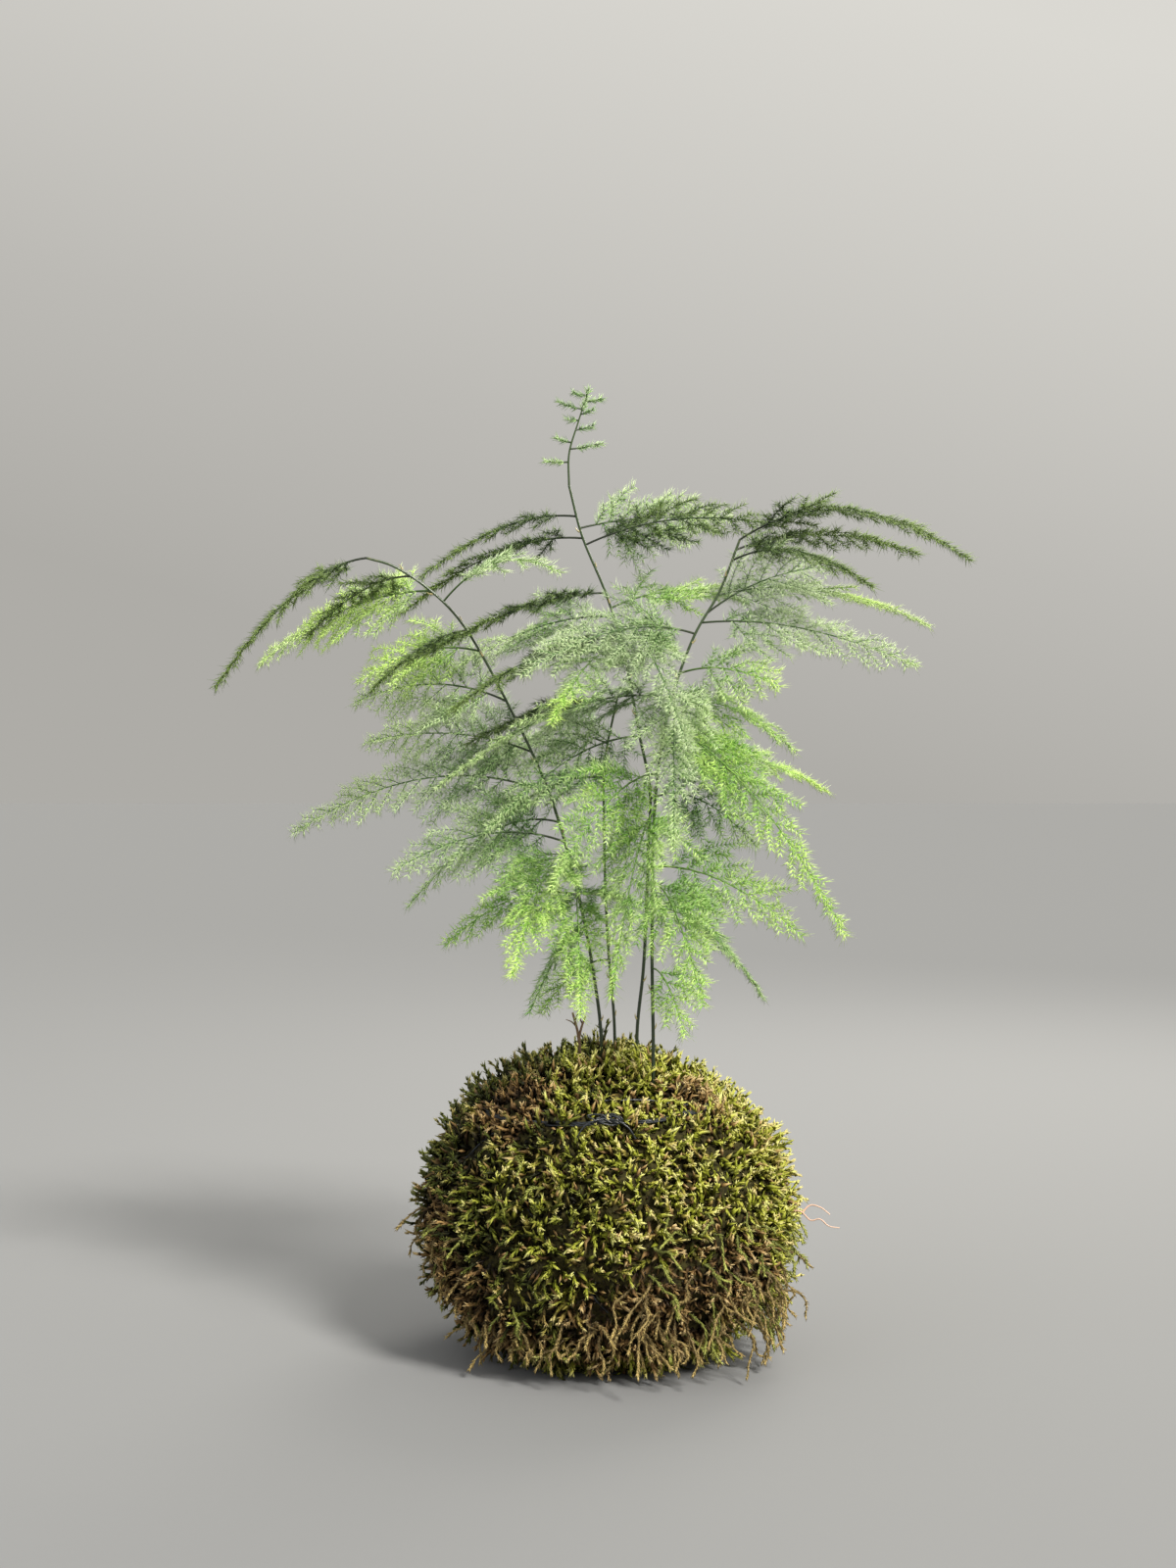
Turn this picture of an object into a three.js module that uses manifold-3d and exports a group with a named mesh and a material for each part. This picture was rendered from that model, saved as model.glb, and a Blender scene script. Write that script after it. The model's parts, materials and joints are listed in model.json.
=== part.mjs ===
// Kokedama: a ball of soil wrapped in moss and bound with thread, with a plumosa fern growing from it.
// Millimetres, +Z up. The origin is the middle of the small flat spot that the ball rests on.
// +X is the plant's right as it is looked at, and +Y is away from the viewer.

import * as THREE from 'three';
import * as BufferGeometryUtils from 'three/addons/utils/BufferGeometryUtils.js';
import Module from 'manifold-3d';

const wasm = await Module();
wasm.setup();

// The ball: half sizes of its outside, the height of its widest ring and of its crown, how far it would
// reach below that ring if it weren't pressed flat, and how square its outline is (2 is an ellipse)
const BALL = { halfWidth: 52.5, halfDepth: 51, middleZ: 42, crown: 44.5, belly: 46 };
const CROWN_SQUARENESS = 2.1;
const BELLY_SQUARENESS = 2.4;
const BALL_LUMP = 1.3;

// The ball slopes more at its upper right: the middle of that slope as a direction, how much lower it is
// there, and how soon it fades
const SHOULDER = { way: [0.62, 0, 0.785], drop: 4, fade: 8 };
const MOSS_THICKNESS = 9;
const BALL_DETAIL = 6;
const SOIL_DETAIL = 2;

// Moss tufts that stand out of the wrap: their share of its faces, their height, and where there are none
const TUFT = { share: 0.6, shortest: 2.2, longest: 5, droop: 0.35, lowestZ: 5, fromStem: 6, breadth: 0.75,
  unevenness: 0.07, sway: 0.5 };

// Thread: turns round the ball's middle, each tilted from level and turned about the upright
const THREAD = { radius: 0.35, lift: 1.45, steps: 27, sides: 3 };
const THREAD_TURNS = [
  { tilt: 9, turn: -50, rise: 47 },
  { tilt: 52, turn: 65, rise: 4 },
  { tilt: 50, turn: 190, rise: 3 },
];

// Clear distance between neighbouring pieces, and round a stem in its hole
const GAP = 0.3;
const HOLE_GAP = GAP + 0.1;

// Stems: the height of their feet in the soil, the height up to which they are straight, their sides, the
// length of a step along them, and the share of the length past which a frond stands on the stem's end
const STEM_FOOT_Z = 50;
const STEM_STRAIGHT_Z = 92;
const STEM_SIDES = 5;
const STEM_HOLE_SIDES = 10;
const STEM_STEP = 11;
const STEM_END_SHARE = 0.985;

// Each stem from foot to tip, as points that it passes through above the moss
const STEMS = [
  {
    name: 'stem_1',
    foot: [-2.5, -4],
    radius: [0.75, 0.5],
    path: [[-4.5, -5, 108], [-7.5, -6, 125], [-16, -8, 157], [-27, -10, 182], [-44, -11, 211],
      [-60, -12, 223.5], [-68, -13, 226]],
  },
  {
    name: 'stem_2',
    foot: [1.5, 7],
    radius: [0.7, 0.45],
    path: [[-0.5, 8, 118], [-1.5, 9, 150], [-1.2, 9, 169], [2.3, 8, 187]],
  },
  {
    name: 'stem_3',
    foot: [8, 1],
    radius: [0.75, 0.5],
    path: [[9.8, 1, 110], [11.2, 2, 144], [11.6, 2, 161], [8.7, 2, 176], [3.7, 3, 202], [-1, 4, 217],
      [-8, 5, 234], [-11.6, 5, 248]],
  },
  {
    name: 'stem_4',
    foot: [12, -19],
    radius: [0.75, 0.5],
    path: [[11.6, -20, 120], [12.4, -19, 157], [16, -15, 182], [23.5, -10, 204], [31, -6, 217],
      [37, -2, 232]],
  },
];

// The leader's young tip goes on from stem 3. Its side tufts haven't opened yet.
const LEADER = {
  radius: [0.5, 0.4],
  path: [[-11.75, 5, 248.4], [-11.6, 5, 257], [-9, 5, 266], [-6, 5, 275.5]],
};
const LEADER_TUFT = { spacing: 3.2, leaflet: 2.6, radius: [0.5, 0.42], spread: 1.2, rise: [0.35, 0.65] };
const LEADER_TUFTS = [
  { height: 254, side: -1, length: 5.5 },
  { height: 257.5, side: 1, length: 8 },
  { height: 261, side: -1, length: 5 },
  { height: 264, side: 1, length: 5 },
  { height: 267.5, side: -1, length: 4.5 },
  { height: 270.5, side: -1, length: 7 },
  { height: 272, side: 1, length: 4.5 },
];

// Fronds: the stem that each one leaves and at what height, where its tip is, how high it arches over the
// straight line between them, how far its flat is rolled about its rachis, in degrees, how long its
// longest side branch is, and whether it is an old dark frond, a full-grown one or a young light one
const frond = (stem, height, tip, arch, roll, reach, age) => ({ stem, height, tip, arch, roll, reach, age });
const FRONDS = [
  frond(0, 226, [-109, -20, 190], 7, -14, 14, 'old'),
  frond(0, 221, [-89, 20, 205], 4, 8, 12, 'old'),
  frond(0, 217, [-105, 36, 198], 5, -58, 23, 'young'),
  frond(2, 239, [-55, 20, 223], 5, -5, 9, 'old'),
  frond(2, 233, [-60, 4, 211], 6, 16, 15, 'old'),
  frond(0, 214, [-14, -30, 221], 7, 26, 13, 'young'),
  frond(0, 206, [-64, -38, 189], 3, 5, 13, 'old'),
  frond(2, 217, [-50, -25, 199], 4, 14, 15, 'old'),
  frond(2, 204, [-43, -40, 183], 5, 8, 16, 'old'),
  frond(1, 186, [-40, -6, 174], 4, 10, 18, 'old'),
  frond(3, 187, [-46, -48, 163], 8, 16, 20, 'grown'),
  frond(0, 160, [-94, 28, 147], 10, -62, 24, 'grown'),
  frond(0, 186, [-74, 14, 186], 5, -62, 24, 'grown'),
  frond(0, 172, [-73, 34, 174], 4, -56, 25, 'grown'),
  frond(0, 146, [-60, -22, 139], 6, -55, 24, 'grown'),
  frond(0, 131, [-47, 6, 116], 6, -45, 18, 'young'),
  frond(0, 124, [-22, -30, 101], 3, 12, 16, 'grown'),
  frond(1, 111, [-20, 22, 94], 4, 26, 17, 'young'),
  frond(3, 156, [0, -58, 109], 8, 8, 26, 'young'),
  frond(3, 140, [52, -30, 122], 5, 60, 24, 'young'),
  frond(3, 179, [63, -38, 123], 9, 36, 20, 'young'),
  frond(2, 170, [67, 44, 159], 6, 50, 22, 'young'),
  frond(3, 183, [52, -8, 172], 7, 45, 20, 'young'),
  frond(3, 208, [84, -20, 196], 4, 30, 22, 'grown'),
  frond(3, 216, [96, 33, 209], 6, 20, 16, 'young'),
  frond(3, 232, [101, -8, 226], 11, -12, 18, 'old'),
  frond(2, 236, [36, 40, 241], 2, 78, 22, 'grown'),
  frond(3, 226, [71, -30, 217], 6, -14, 16, 'old'),
  frond(3, 136, [24, -54, 106], 7, 16, 22, 'young'),
  frond(3, 112, [20, -37, 96], 4, 20, 17, 'young'),
  frond(2, 158, [40, -24, 146], 6, 55, 22, 'grown'),
  frond(2, 201, [-16, -46, 180], 6, -20, 21, 'young'),
  frond(3, 205, [-24, -38, 193], 6, -48, 23, 'grown'),
  frond(2, 208, [20, -48, 174], 8, 20, 22, 'grown'),
  frond(1, 174, [-42, 56, 163], 7, -50, 25, 'grown'),
  frond(2, 213, [40, 10, 215], 4, 36, 23, 'young'),
  frond(2, 210.5, [-46, 26, 196], 4, -50, 25, 'grown'),
  frond(0, 200, [-72, 4, 192], 4, -58, 24, 'young'),
  frond(0, 152, [-58, 10, 127], 8, -38, 20, 'grown'),
  frond(0, 134, [-8, -54, 103], 6, 4, 22, 'young'),
  frond(0, 144, [-26, -54, 114], 7, -8, 26, 'young'),
  frond(2, 126, [46, 24, 98], 8, 30, 20, 'grown'),
  frond(3, 190, [16, -60, 148], 8, 10, 24, 'grown'),
  frond(3, 194, [46, -26, 190], 3, 44, 20, 'young'),
  frond(3, 211, [61, -6, 224], 3, 64, 24, 'grown'),
  frond(3, 229, [90, 14, 229], 5, -8, 15, 'old'),
  frond(2, 176, [-34, -30, 150], 6, -50, 22, 'grown'),
  frond(3, 166, [-16, -46, 136], 7, -40, 24, 'young'),
  frond(3, 174, [48, 22, 150], 7, 50, 22, 'grown'),
  frond(1, 164, [-38, 24, 146], 5, -52, 20, 'grown'),
  frond(2, 231, [50, 4, 236], 5, 32, 20, 'old'),
];

// Build of a frond: bare foot of its rachis, distance between side branches and between their leaflets,
// thickness of the wood, and the number of straight steps in its rachis
const FROND = {
  bareFoot: 7, branchSpacing: 13, leafletSpacing: 9.2, rachisRadius: [0.7, 0.42], branchRadius: [0.56, 0.42],
  steps: 6,
};

// Side branches: their angle to the rachis at its foot and at its tip, how uneven that angle, their lift
// and their length are, how far they bend forward and hang down, and the shortest that is built
const BRANCH = {
  angle: [62, 38], angleSpread: 10, liftSpread: 0.3, size: [0.85, 1.15], place: [0.3, 0.7],
  forward: 0.25, hang: 0.14, shortest: 6, lastShare: 0.96,
};
const END_BRANCH = { share: 0.9, side: 1, angle: 4, lift: 0, length: 9 };

// Leaflets: their length at a branch's foot, how much of it they lose by its tip, how long those on the
// upper side are by comparison, their forward lean, and how far they are pressed into the frond's flat
const LEAFLET = { length: 5.6, dwindle: 0.35, upperShare: 0.55, lean: 46, flatness: 0.6 };
const WHORL_STEP = 1.5;

// A dry forked twig at the foot of stem 1
const DRY_TWIG = {
  foot: [-8.5, -7.5], footZ: 79, straightZ: 87, radius: [0.6, 0.35],
  fork: [-9, -8, 92], tips: [[-10.5, -9, 98], [-6.8, -7.6, 97]],
};

const COLOURS = {
  soil: 0x2a1d14, moss: 0x6d7a24, thread: 0x15171b, wood: 0x2b2f25, twig: 0x5a4430,
  old: 0x2f5a26, grown: 0x4f8f38, young: 0x86c548, tip: 0x5d8f3f,
};

const group = new THREE.Group();
const DEGREES = Math.PI / 180;
const UP = new THREE.Vector3(0, 0, 1);
const SIDEWAYS = new THREE.Vector3(0.31, 0.95, 0);
const vector = (p) => new THREE.Vector3(p[0], p[1], p[2]);

// Repeatable random numbers from 0 to 1
function dice(seed) {
  let state = seed;
  return () => {
    state = (state * 16807) % 2147483647;
    return state / 2147483647;
  };
}

function mix(pair, share) {
  return pair[0] + (pair[1] - pair[0]) * share;
}

// A closed solid from loose corners and faces that share them
function solid(corners, faces) {
  const vertProperties = new Float32Array(corners.flatMap((c) => [c.x, c.y, c.z]));
  const triVerts = new Uint32Array(faces.flat());
  return new wasm.Manifold(new wasm.Mesh({ numProp: 3, vertProperties, triVerts }));
}

// A closed solid from one of the library's shapes
function solidFrom(shape) {
  const bare = shape.index ? shape.toNonIndexed() : shape;
  bare.deleteAttribute('normal');
  bare.deleteAttribute('uv');
  const merged = BufferGeometryUtils.mergeVertices(bare, 1e-4);
  const mesh = new wasm.Mesh({
    numProp: 3,
    vertProperties: new Float32Array(merged.attributes.position.array),
    triVerts: new Uint32Array(merged.index.array),
  });
  return new wasm.Manifold(mesh);
}

// Adds a sub-part to the model
function add(name, body, colour, roughness) {
  const mesh = body.simplify(0.01).getMesh();
  const geometry = new THREE.BufferGeometry();
  geometry.setAttribute('position', new THREE.BufferAttribute(mesh.vertProperties, 3));
  geometry.setIndex(new THREE.BufferAttribute(mesh.triVerts, 1));
  geometry.computeVertexNormals();
  const material = new THREE.MeshStandardMaterial({ color: colour, roughness, metalness: 0 });
  const node = new THREE.Mesh(geometry, material);
  node.name = name;
  group.add(node);
}

// Bones are the straight lines with a thickness that stand for a piece when its neighbours are kept clear.
// A leaflet's edges count as a share of its twig's thickness.
const LEAFLET_EDGE = 0.7;

function lineGap(a, b) {
  const u = a.end.clone().sub(a.start);
  const v = b.end.clone().sub(b.start);
  const w = a.start.clone().sub(b.start);
  const uu = u.dot(u);
  const uv = u.dot(v);
  const vv = v.dot(v);
  const uw = u.dot(w);
  const vw = v.dot(w);
  const spread = uu * vv - uv * uv;
  let s = spread > 1e-9 ? THREE.MathUtils.clamp((uv * vw - vv * uw) / spread, 0, 1) : 0;
  const t = THREE.MathUtils.clamp((uv * s + vw) / vv, 0, 1);
  s = THREE.MathUtils.clamp((uv * t - uw) / uu, 0, 1);
  const nearest = w.addScaledVector(u, s).addScaledVector(v, -t);
  return nearest.length() - a.radius - b.radius;
}

const placed = [];

function isClear(bones, owner) {
  const reach = new THREE.Box3();
  bones.forEach((bone) => reach.expandByPoint(bone.start).expandByPoint(bone.end));
  reach.expandByScalar(2);
  const near = placed.filter((bone) => bone.owner !== owner && reach.intersectsBox(bone.box));
  return near.every((other) => bones.every((bone) => lineGap(bone, other) > GAP));
}

function place(bones, owner) {
  bones.forEach((bone) => {
    const box = new THREE.Box3().setFromPoints([bone.start, bone.end]).expandByScalar(bone.radius);
    placed.push({ ...bone, owner, box });
  });
}

// Stops for a twig with a whorl of leaflets on a short step at each node
function leafletStops(length, spacing) {
  const whorls = Math.max(1, Math.round(length / spacing - 0.4));
  const stops = [0];
  for (let i = 0; i < whorls; i += 1) {
    const middle = (i + 0.8) / (whorls + 0.3);
    stops.push(middle - (0.5 * WHORL_STEP) / length, middle + (0.5 * WHORL_STEP) / length);
  }
  return [...stops, 1];
}

function evenStops(count) {
  return Array.from({ length: count + 1 }, (_, j) => j / count);
}

// A tapering twig along a curve, with a ring of corners at each stop, flat sides between them, and a
// pointed or a blunt end. Where leafletAt gives a length, a side of that step is drawn out into a slim
// leaflet that leans forward, in the flat whose normal is given.
function twig({ curve, stops, sides, radius, normal = SIDEWAYS, leafletAt = () => 0, blunt = false }) {
  const corners = [];
  const faces = [];
  const bones = [];
  const rings = [];
  const ringCount = blunt ? stops.length : stops.length - 1;
  for (let j = 0; j < ringCount; j += 1) {
    const share = stops[j];
    const centre = curve.getPointAt(share);
    const ahead = curve.getTangentAt(share);
    const across = new THREE.Vector3().crossVectors(ahead, normal).normalize();
    const over = new THREE.Vector3().crossVectors(across, ahead);
    const size = mix(radius, share);
    rings.push({ centre, ahead, across, size, first: corners.length });
    for (let k = 0; k < sides; k += 1) {
      const angle = Math.PI / 2 + (k * 2 * Math.PI) / sides;
      corners.push(centre.clone().addScaledVector(across, Math.cos(angle) * size)
        .addScaledVector(over, Math.sin(angle) * size));
    }
  }
  const point = blunt ? rings.at(-1).first : corners.push(curve.getPointAt(1)) - 1;
  for (let k = 1; k < sides - 1; k += 1) {
    faces.push([0, k, k + 1]);
    if (blunt) {
      faces.push([point, point + k + 1, point + k]);
    }
  }
  rings.forEach((ring, j) => {
    const next = rings[j + 1];
    const far = next ? next.centre : corners[point];
    bones.push({ start: ring.centre, end: far, radius: ring.size });
    for (let k = 0; k < sides; k += 1) {
      const a = ring.first + k;
      const b = ring.first + ((k + 1) % sides);
      if (!next) {
        if (!blunt) {
          faces.push([a, point, b]);
        }
        continue;
      }
      const d = next.first + k;
      const c = next.first + ((k + 1) % sides);
      const length = leafletAt(j, k);
      if (!length) {
        faces.push([a, d, c], [a, c, b]);
        continue;
      }
      const middle = corners[a].clone().add(corners[b]).add(corners[c]).add(corners[d]).multiplyScalar(0.25);
      const outward = middle.clone().sub(ring.centre).addScaledVector(ring.ahead, -middle.clone()
        .sub(ring.centre).dot(ring.ahead)).normalize();
      const flat = ring.across.clone().multiplyScalar(Math.sign(outward.dot(ring.across)) || 1);
      outward.lerp(flat, LEAFLET.flatness).normalize();
      const tip = middle.clone().addScaledVector(outward, length * Math.cos(LEAFLET.lean * DEGREES))
        .addScaledVector(ring.ahead, length * Math.sin(LEAFLET.lean * DEGREES));
      const p = corners.push(tip) - 1;
      faces.push([a, d, p], [d, c, p], [c, b, p], [b, a, p]);
      const root = corners[a].clone().lerp(corners[b], 0.5);
      const shoulder = corners[d].clone().lerp(corners[c], 0.5);
      const edge = LEAFLET_EDGE * ring.size;
      bones.push({ start: root, end: tip, radius: edge });
      bones.push({ start: shoulder, end: tip, radius: edge });
    }
  });
  return { corners, faces, bones };
}

function fuse(pieces) {
  return wasm.Manifold.union(pieces.map((piece) => solid(piece.corners, piece.faces)));
}

// The ball's outside: how far it is from its middle in a direction, less an inset
const BALL_MIDDLE = new THREE.Vector3(0, 0, BALL.middleZ);

function ballReach(way, inset) {
  const level = Math.hypot(way.x / BALL.halfWidth, way.y / BALL.halfDepth);
  const upright = Math.abs(way.z) / (way.z > 0 ? BALL.crown : BALL.belly);
  const squareness = way.z > 0 ? CROWN_SQUARENESS : BELLY_SQUARENESS;
  const round = (level ** squareness + upright ** squareness) ** (-1 / squareness);
  const broad = Math.sin(5.3 * way.x + 1.1) * Math.sin(4.7 * way.y + 0.6);
  const slanting = Math.sin(6.1 * way.z + 4.2 * way.x);
  const shoulder = SHOULDER.drop * Math.max(way.dot(vector(SHOULDER.way)), 0) ** SHOULDER.fade;
  return round + (BALL_LUMP / 2) * (broad + slanting) - shoulder - inset;
}

function ballPoint(way, inset) {
  return BALL_MIDDLE.clone().addScaledVector(way, ballReach(way, inset));
}

function ballShell(detail, inset, unevenness = 0) {
  const random = dice(7);
  const sphere = new THREE.IcosahedronGeometry(1, detail);
  sphere.deleteAttribute('normal');
  sphere.deleteAttribute('uv');
  const merged = BufferGeometryUtils.mergeVertices(sphere, 1e-4);
  const corners = [];
  for (let i = 0; i < merged.attributes.position.count; i += 1) {
    const way = new THREE.Vector3().fromBufferAttribute(merged.attributes.position, i).normalize();
    const shift = new THREE.Vector3(random() - 0.5, random() - 0.5, random() - 0.5);
    corners.push(ballPoint(way.addScaledVector(shift, unevenness).normalize(), inset));
  }
  const faces = [];
  for (let i = 0; i < merged.index.count; i += 3) {
    faces.push([0, 1, 2].map((k) => merged.index.getX(i + k)));
  }
  return { corners, faces };
}

// The thread's turns, each a ring of points a little above the moss
function threadRing(turn) {
  const points = [];
  const normal = new THREE.Vector3(0, 0, 1).applyAxisAngle(new THREE.Vector3(1, 0, 0), turn.tilt * DEGREES)
    .applyAxisAngle(UP, turn.turn * DEGREES);
  const flat = new THREE.Vector3(1, 0, 0).applyAxisAngle(UP, turn.turn * DEGREES);
  const other = new THREE.Vector3().crossVectors(normal, flat);
  for (let i = 0; i < THREAD.steps; i += 1) {
    const angle = (i / THREAD.steps) * 2 * Math.PI;
    const way = flat.clone().multiplyScalar(Math.cos(angle)).addScaledVector(other, Math.sin(angle))
      .multiplyScalar(BALL.halfWidth);
    way.z += turn.rise;
    points.push(ballPoint(way.normalize(), -THREAD.lift));
  }
  return points;
}

function threadBones(points) {
  return points.map((p, i) => ({ start: p, end: points[(i + 1) % points.length], radius: THREAD.radius }));
}

function threadLoop(points) {
  const corners = [];
  const faces = [];
  points.forEach((centre, i) => {
    const before = points[(i + points.length - 1) % points.length];
    const after = points[(i + 1) % points.length];
    const ahead = after.clone().sub(before).normalize();
    const over = centre.clone().sub(BALL_MIDDLE);
    over.addScaledVector(ahead, -over.dot(ahead)).normalize();
    const across = new THREE.Vector3().crossVectors(ahead, over);
    for (let k = 0; k < THREAD.sides; k += 1) {
      const angle = ((k + 0.5) * 2 * Math.PI) / THREAD.sides;
      corners.push(centre.clone().addScaledVector(across, Math.cos(angle) * THREAD.radius)
        .addScaledVector(over, Math.sin(angle) * THREAD.radius));
    }
    for (let k = 0; k < THREAD.sides; k += 1) {
      const a = i * THREAD.sides + k;
      const b = i * THREAD.sides + ((k + 1) % THREAD.sides);
      const next = ((i + 1) % points.length) * THREAD.sides;
      const d = next + k;
      const c = next + ((k + 1) % THREAD.sides);
      faces.push([a, d, c], [a, c, b]);
    }
  });
  const ring = solid(corners, faces);
  return ring.volume() > 0 ? ring : solid(corners, faces.map((face) => face.toReversed()));
}

// Stems
function stemCurve(stem) {
  const [x, y] = stem.foot;
  const halfway = (STEM_FOOT_Z + STEM_STRAIGHT_Z) / 2;
  const straight = [[x, y, STEM_FOOT_Z], [x, y, halfway], [x, y, STEM_STRAIGHT_Z]];
  return new THREE.CatmullRomCurve3([...straight, ...stem.path].map(vector));
}

const stemCurves = STEMS.map(stemCurve);

// The share of a curve's length at which it reaches a height, as the nearest of many even steps
const CURVE_STEPS = 400;

function shareAtHeight(curve, height) {
  let best = 0;
  for (let i = 0; i <= CURVE_STEPS; i += 1) {
    const share = i / CURVE_STEPS;
    if (Math.abs(curve.getPointAt(share).z - height) < Math.abs(curve.getPointAt(best).z - height)) {
      best = share;
    }
  }
  return best;
}

function buildStems() {
  STEMS.forEach((stem, i) => {
    const stops = evenStops(Math.round(stemCurves[i].getLength() / STEM_STEP));
    const piece = twig({ curve: stemCurves[i], stops, sides: STEM_SIDES, radius: stem.radius, blunt: true });
    place(piece.bones, stem.name);
    add(stem.name, fuse([piece]), COLOURS.wood, 0.45);
  });
}

function stemHole(foot, radius, bottom, top) {
  const hole = new THREE.CylinderGeometry(radius, radius, top - bottom, STEM_HOLE_SIDES);
  hole.rotateX(Math.PI / 2);
  hole.translate(foot[0], foot[1], (bottom + top) / 2);
  return solidFrom(hole);
}

function stemHoles(bottom) {
  return STEMS.map((stem) => stemHole(stem.foot, stem.radius[0] + HOLE_GAP, bottom, STEM_STRAIGHT_Z + 10));
}

// Moss, soil and thread
function buildBall() {
  const threads = THREAD_TURNS.map(threadRing);
  threads.forEach((points) => place(threadBones(points), 'binding_thread'));
  const random = dice(41);
  const outside = ballShell(BALL_DETAIL, 0, TUFT.unevenness);
  const tufted = [];
  outside.faces.forEach((face) => {
    const chance = random();
    const height = mix([TUFT.shortest, TUFT.longest], random());
    const sway = new THREE.Vector3(random() - 0.5, random() - 0.5, random() - 0.5).multiplyScalar(height);
    const [a, b, c] = face.map((k) => outside.corners[k]);
    const middle = a.clone().add(b).add(c).divideScalar(3);
    const nearStem = STEMS.some((stem) => Math.hypot(middle.x - stem.foot[0], middle.y - stem.foot[1])
      < TUFT.fromStem && middle.z > BALL.middleZ);
    const out = middle.clone().sub(BALL_MIDDLE).normalize().addScaledVector(UP, -TUFT.droop).normalize();
    const tip = middle.clone().addScaledVector(out, height).addScaledVector(sway, TUFT.sway);
    const widest = Math.max(...[a, b, c].map((corner) => corner.distanceTo(middle)));
    const tuft = { start: middle, end: tip, radius: TUFT.breadth * widest };
    if (chance > TUFT.share || middle.z < TUFT.lowestZ || nearStem || !isClear([tuft], 'moss_wrap')) {
      tufted.push(face);
      return;
    }
    tip.z = Math.max(tip.z, 1);
    const p = outside.corners.push(tip) - 1;
    tufted.push([face[0], face[1], p], [face[1], face[2], p], [face[2], face[0], p]);
  });
  const underside = new THREE.BoxGeometry(4 * BALL.halfWidth, 4 * BALL.halfWidth, BALL.halfWidth);
  underside.translate(0, 0, -BALL.halfWidth / 2);
  const hollow = ballShell(SOIL_DETAIL, MOSS_THICKNESS);
  const soil = ballShell(SOIL_DETAIL, MOSS_THICKNESS + GAP);
  const twigBottom = DRY_TWIG.footZ - GAP;
  const twigHole = stemHole(DRY_TWIG.foot, DRY_TWIG.radius[0] + HOLE_GAP, twigBottom, STEM_STRAIGHT_Z + 10);
  const holes = [twigHole, ...stemHoles(STEM_FOOT_Z - 2 * GAP)];
  const cuts = [solidFrom(underside), solid(hollow.corners, hollow.faces), ...holes];
  const moss = solid(outside.corners, tufted).subtract(wasm.Manifold.union(cuts));
  const sockets = wasm.Manifold.union(stemHoles(STEM_FOOT_Z - GAP));
  const core = solid(soil.corners, soil.faces).subtract(sockets);
  add('soil_core', core, COLOURS.soil, 1);
  add('moss_wrap', moss, COLOURS.moss, 1);
  add('binding_thread', wasm.Manifold.union(threads.map(threadLoop)), COLOURS.thread, 0.5);
}

function buildDryTwig() {
  const [x, y] = DRY_TWIG.foot;
  const stalk = (tip) => {
    const points = [[x, y, DRY_TWIG.footZ], [x, y, DRY_TWIG.straightZ], DRY_TWIG.fork, tip];
    const curve = new THREE.CatmullRomCurve3(points.map(vector));
    return twig({ curve, stops: evenStops(5), sides: 3, radius: DRY_TWIG.radius, blunt: true });
  };
  const pieces = DRY_TWIG.tips.map(stalk);
  pieces.forEach((piece) => place(piece.bones, 'dry_twig'));
  add('dry_twig', fuse(pieces), COLOURS.twig, 0.9);
}

function buildLeader() {
  const curve = new THREE.CatmullRomCurve3(LEADER.path.map(vector));
  const random = dice(977);
  const pieces = [twig({ curve, stops: evenStops(5), sides: 3, radius: LEADER.radius })];
  LEADER_TUFTS.forEach((tuft) => {
    const root = curve.getPointAt(shareAtHeight(curve, tuft.height));
    const sideways = LEADER_TUFT.spread * (random() - 0.5);
    const way = new THREE.Vector3(tuft.side, sideways, mix(LEADER_TUFT.rise, random())).normalize();
    const branch = new THREE.LineCurve3(root, root.clone().addScaledVector(way, tuft.length));
    const stops = leafletStops(tuft.length, LEADER_TUFT.spacing);
    const leafletAt = (step) => (step % 2 ? LEADER_TUFT.leaflet : 0);
    pieces.push(twig({ curve: branch, stops, sides: 3, radius: LEADER_TUFT.radius, leafletAt }));
  });
  pieces.forEach((piece) => place(piece.bones, 'leader_tip'));
  add('leader_tip', fuse(pieces), COLOURS.tip, 0.6);
}

// The curve of a frond's rachis, to its tip from just off its stem's side, or from just past its stem's end
function rachisCurve(plan) {
  const stem = stemCurves[plan.stem];
  const share = shareAtHeight(stem, plan.height);
  const root = stem.getPointAt(share);
  const tip = vector(plan.tip);
  const crest = root.clone().lerp(tip, 0.45).addScaledVector(UP, 2 * plan.arch);
  const way = crest.clone().sub(root).normalize();
  const stemAhead = stem.getTangentAt(share);
  const along = Math.abs(way.dot(stemAhead));
  const sideways = Math.sqrt(1 - along * along);
  if (share > STEM_END_SHARE) {
    root.copy(stem.getPointAt(1)).addScaledVector(stemAhead, GAP + FROND.rachisRadius[0] * sideways);
  } else {
    const standOff = mix(STEMS[plan.stem].radius, share) + GAP + FROND.rachisRadius[0] * along;
    root.addScaledVector(way, standOff / sideways);
  }
  return new THREE.QuadraticBezierCurve3(root, crest, tip);
}

// How long a side branch is at a place along the rachis: longest a fifth of the way up, then dwindling
function branchProfile(share) {
  const swell = THREE.MathUtils.clamp(0.62 + share * 1.8, 0, 1);
  return swell * (1 - share) ** 0.75;
}

// The direction that a frond's flat faces: upwards, rolled about the line from its root to its tip
function frondNormal(plan, curve) {
  const chord = curve.v2.clone().sub(curve.v0).normalize();
  const level = new THREE.Vector3().crossVectors(chord, UP);
  return level.cross(chord).normalize().applyAxisAngle(chord, plan.roll * DEGREES);
}

function rachisPiece(plan, curve) {
  const normal = frondNormal(plan, curve);
  return twig({ curve, stops: evenStops(FROND.steps), sides: 3, radius: FROND.rachisRadius, normal });
}

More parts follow.
